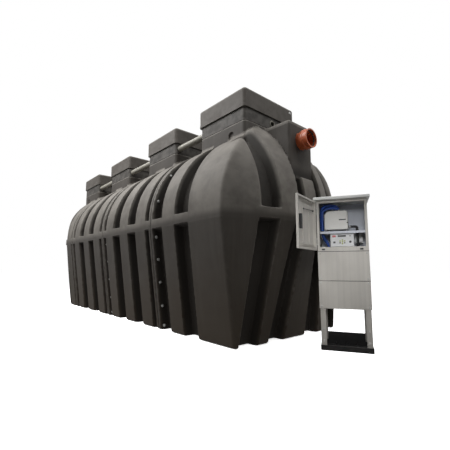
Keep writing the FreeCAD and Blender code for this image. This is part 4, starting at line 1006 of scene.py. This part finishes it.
def door_stay():
    """A thin black stay folded along the door's inner face."""
    bm = bmesh.new()
    stay = hose_line([(0.06, 0.003, 1.118), (0.16, 0.004, 1.112), (0.27, 0.003, 1.106)], resolution=12)
    add_hose(bm, stay, 0.0032, sides=8)
    for x, z in ((0.06, 1.118), (0.27, 1.106)):
        add_turned(bm, [(0.007, 0.0), (0.007, 0.011), (0.005, 0.0135)], placed((x, -0.007, z), -QUARTER, "X"),
                   sides=14)
    trim("door_stay", bm, LATCH, DOOR_FRAME, "door")


def panel_screws():
    """Screw heads at the corners of both plinth panels and at the feet of the legs."""
    screw = [(0.0055, -0.001), (0.0055, 0.0008), (0.0035, 0.002)]
    bolt = [(0.0075, -0.001), (0.0075, 0.003), (0.005, 0.0045)]
    bm = bmesh.new()
    for profile, sides, across, y, heights in ((screw, 14, 0.178, 0.0, (0.345, 0.53, 0.566, 0.768)),
                                               (bolt, 6, 0.168, 0.006, (0.075, 0.16))):
        for z in heights:
            for x in (-across, across):
                add_turned(bm, profile, placed((x, y, z), QUARTER, "X"), sides)
    trim("panel_screws", bm, ZINC)


def seam_shade_strips():
    """Dark strips of painted shade in the seams round the cabinet, between its plinths and under its housing.
    """
    proud, half, edge = 0.0006, 0.002, 0.0004
    side, back = 0.196, 0.25
    bm = bmesh.new()
    for z in (0.548, 0.786):
        for y in (0.0, back):
            add_bar(bm, (-side - proud, y - proud, z - half), (side + proud, y + proud, z + half), edge)
        for x in (-side, side):
            add_bar(bm, (x - proud, -proud, z - half), (x + proud, back + proud, z + half), edge)
    # Painted shade: dark strips stand in for the shade in the seams.
    trim("seam_shade_strips", bm, GASKET_RUBBER)


# Hoses in the cabinet

HOUSING_FLOOR = 0.790
SHELF_TOP = 0.955
CASE_TOP = 1.131


def ribbed_hose(name, route, radius, pitch, depth, finish):
    """A hose with grooves round it, in a CAD hose's place."""
    bm = bmesh.new()
    add_hose(bm, hose_line(route), radius, pitch, depth, sides=16)
    piece = trim(f"{name}_ribbed", bm, finish, soft=False)
    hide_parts(name)


def cabinet_hoses():
    """The blue air hose over the blower, the black hose out of it, and their clips."""
    air = [(-0.109, 0.145, HOUSING_FLOOR), (-0.109, 0.145, 0.83), (-0.121, 0.135, 0.866),
           (-0.159, 0.085, 0.92), (-0.165, 0.085, 1.071), (-0.162, 0.085, CASE_TOP), (-0.147, 0.085, 1.172),
           (-0.103, 0.091, 1.186), (-0.058, 0.103, 1.183), (-0.021, 0.111, 1.161), (-0.021, 0.111, CASE_TOP)]
    outlet = [(0.051, 0.121, 0.998), (0.088, 0.121, 0.998), (0.1215, 0.121, 0.998), (0.1215, 0.121, 0.955),
              (0.1215, 0.121, HOUSING_FLOOR)]
    ribbed_hose("air_hose", air, 0.013, 0.008, 0.0016, BLUE_HOSE)
    ribbed_hose("blower_outlet_hose", outlet, 0.0115, 0.007, 0.0012, RUBBER)
    clip = [(0.0128, -0.005), (0.0136, -0.004), (0.0136, 0.004), (0.0128, 0.005)]
    wide_clip = [(radius + 0.0012, height) for radius, height in clip]
    bm = bmesh.new()
    add_turned(bm, clip, placed((0.064, 0.121, 0.998), QUARTER, "Y"), sides=24)
    add_turned(bm, wide_clip, placed((-0.021, 0.111, CASE_TOP + 0.009)), sides=24)
    add_turned(bm, wide_clip, placed((-0.109, 0.145, HOUSING_FLOOR + 0.01)), sides=24)
    trim("hose_clips", bm, ZINC)


def hose_bundle():
    """Two more blue hoses, from grommets in the shelf over the blower's corner into its top."""
    routes = (
        [(-0.157, 0.059, SHELF_TOP), (-0.155, 0.059, 1.0), (-0.153, 0.059, 1.08), (-0.151, 0.059, 1.125),
         (-0.126, 0.06, 1.151), (-0.085, 0.064, 1.155), (-0.05, 0.072, 1.158), (-0.034, 0.077, 1.152),
         (-0.034, 0.077, 1.13)],
        [(-0.157, 0.113, SHELF_TOP), (-0.156, 0.113, 1.0), (-0.156, 0.113, 1.085), (-0.153, 0.113, 1.135),
         (-0.13, 0.116, 1.168), (-0.09, 0.124, 1.172), (-0.062, 0.136, 1.17), (-0.048, 0.145, 1.157),
         (-0.048, 0.145, 1.13)],
    )
    grommet = [(0.0125, -0.0005), (0.0125, 0.005), (0.0115, 0.006)]
    hoses, grommets = bmesh.new(), bmesh.new()
    for route in routes:
        add_hose(hoses, hose_line(route), 0.011, pitch=0.008, depth=0.0012)
        for end in (route[0], route[-1]):
            add_turned(grommets, grommet, placed(end))
    trim("air_hose_bundle", hoses, BLUE_HOSE, soft=False)
    trim("hose_grommets", grommets, RUBBER)


flange_bolts()
lid_plug()
socket_seals()
blower_trim()
controller_front()
junction_cover()
frame_plugs()
seam_shade_strips()
door_lining()
door_stay()
panel_screws()
cabinet_hoses()
hose_bundle()


# Stage, light and camera

def seen_rays(graph, *kinds):
    """1 for rays of the kinds given."""
    path = graph.node("ShaderNodeLightPath").outputs
    seen = path[f"Is {kinds[0]} Ray"]
    for kind in kinds[1:]:
        seen = graph.math("MAXIMUM", seen, path[f"Is {kind} Ray"])
    return seen


def floor_finish():
    """White floor that keeps the shadow, and throws little light back on the object."""
    material = bpy.data.materials.new("Studio floor")
    material.use_nodes = True
    graph = Graph(material.node_tree)
    material.node_tree.nodes.clear()
    seen = seen_rays(graph, "Camera", "Transmission")
    mirrored = seen_rays(graph, "Glossy")
    diffuse = graph.node("ShaderNodeBsdfDiffuse")
    colour = graph.blend(mirrored, (0.16, 0.155, 0.15), (0.45, 0.45, 0.45))
    graph.link(graph.blend(seen, colour, (2.6, 2.6, 2.6)), diffuse.inputs["Color"])
    glow = graph.node("ShaderNodeEmission")
    strength = graph.math("MULTIPLY_ADD", mirrored, 0.55, graph.math("MULTIPLY", seen, 0.7))
    graph.link(strength, glow.inputs["Strength"])
    both = graph.node("ShaderNodeAddShader")
    graph.link(diffuse.outputs[0], both.inputs[0])
    graph.link(glow.outputs[0], both.inputs[1])
    graph.link(both.outputs[0], graph.node("ShaderNodeOutputMaterial").inputs["Surface"])
    return material


def stage():
    """A wide pale floor just under the object."""
    bm = bmesh.new()
    bmesh.ops.create_grid(bm, x_segments=8, y_segments=8, size=60)
    floor = bpy.data.objects.new("studio_floor", mesh_from(bm, "studio floor"))
    floor.location.z = -0.001
    floor.data.materials.append(floor_finish())
    bpy.context.scene.collection.objects.link(floor)


def sky():
    """White behind the object, and a soft plain light from all round."""
    world = bpy.data.worlds.new("Studio")
    bpy.context.scene.world = world
    world.use_nodes = True
    graph = Graph(world.node_tree)
    world.node_tree.nodes.clear()
    mix = graph.node("ShaderNodeMixShader")
    graph.link(seen_rays(graph, "Camera", "Glossy", "Transmission"), mix.inputs[0])
    for index, colour, strength in ((1, (1.0, 0.99, 0.975), 0.12), (2, (1.0, 1.0, 1.0), 1.0)):
        light = graph.node("ShaderNodeBackground")
        graph.feed(colour, light.inputs["Color"])
        graph.feed(strength, light.inputs["Strength"])
        graph.link(light.outputs[0], mix.inputs[index])
    graph.link(mix.outputs[0], graph.node("ShaderNodeOutputWorld").inputs["Surface"])


def lamp(name, place, target, length, width, power, spread=180):
    """A soft rectangular lamp that faces a target."""
    data = bpy.data.lights.new(name, "AREA")
    data.spread = math.radians(spread)
    data.shape = "RECTANGLE"
    data.size = length
    data.size_y = width
    data.energy = power
    item = bpy.data.objects.new(name, data)
    item.location = place
    item.rotation_euler = (Vector(target) - Vector(place)).to_track_quat("-Z", "Y").to_euler()
    bpy.context.scene.collection.objects.link(item)


def camera():
    """The photo's view, found from the tank's straight and level edges."""
    data = bpy.data.cameras.new("Photo view")
    data.lens = 25.44
    data.sensor_width = 36
    data.shift_x = -0.00385
    data.shift_y = 0.01085
    data.clip_end = 200
    item = bpy.data.objects.new("Photo view", data)
    right, up, back = (0.6631, 0.7486, 0), (0.0904, -0.08, 0.9928), (0.7431, -0.6583, -0.1207)
    turn = Matrix((right, up, back)).transposed().to_4x4()
    item.matrix_world = Matrix.Translation((3.819, -2.538, 0.647)) @ turn
    bpy.context.scene.collection.objects.link(item)
    bpy.context.scene.camera = item


stage()
sky()
lamp("Row light", (-1.3, -2.5, 4.7), (-1.3, -1.0, 1.2), length=5.9, width=2.0, power=335)
lamp("End light", (3.8, 0.2, 4.6), (2.4, 0.0, 1.2), length=2.2, width=2.2, power=80)
lamp("Cabinet light", (3.6, -2.1, 1.45), (2.5, -0.15, 0.72), length=0.5, width=0.5, power=1.0, spread=34)
camera()
bpy.context.scene.view_settings.view_transform = "Standard"
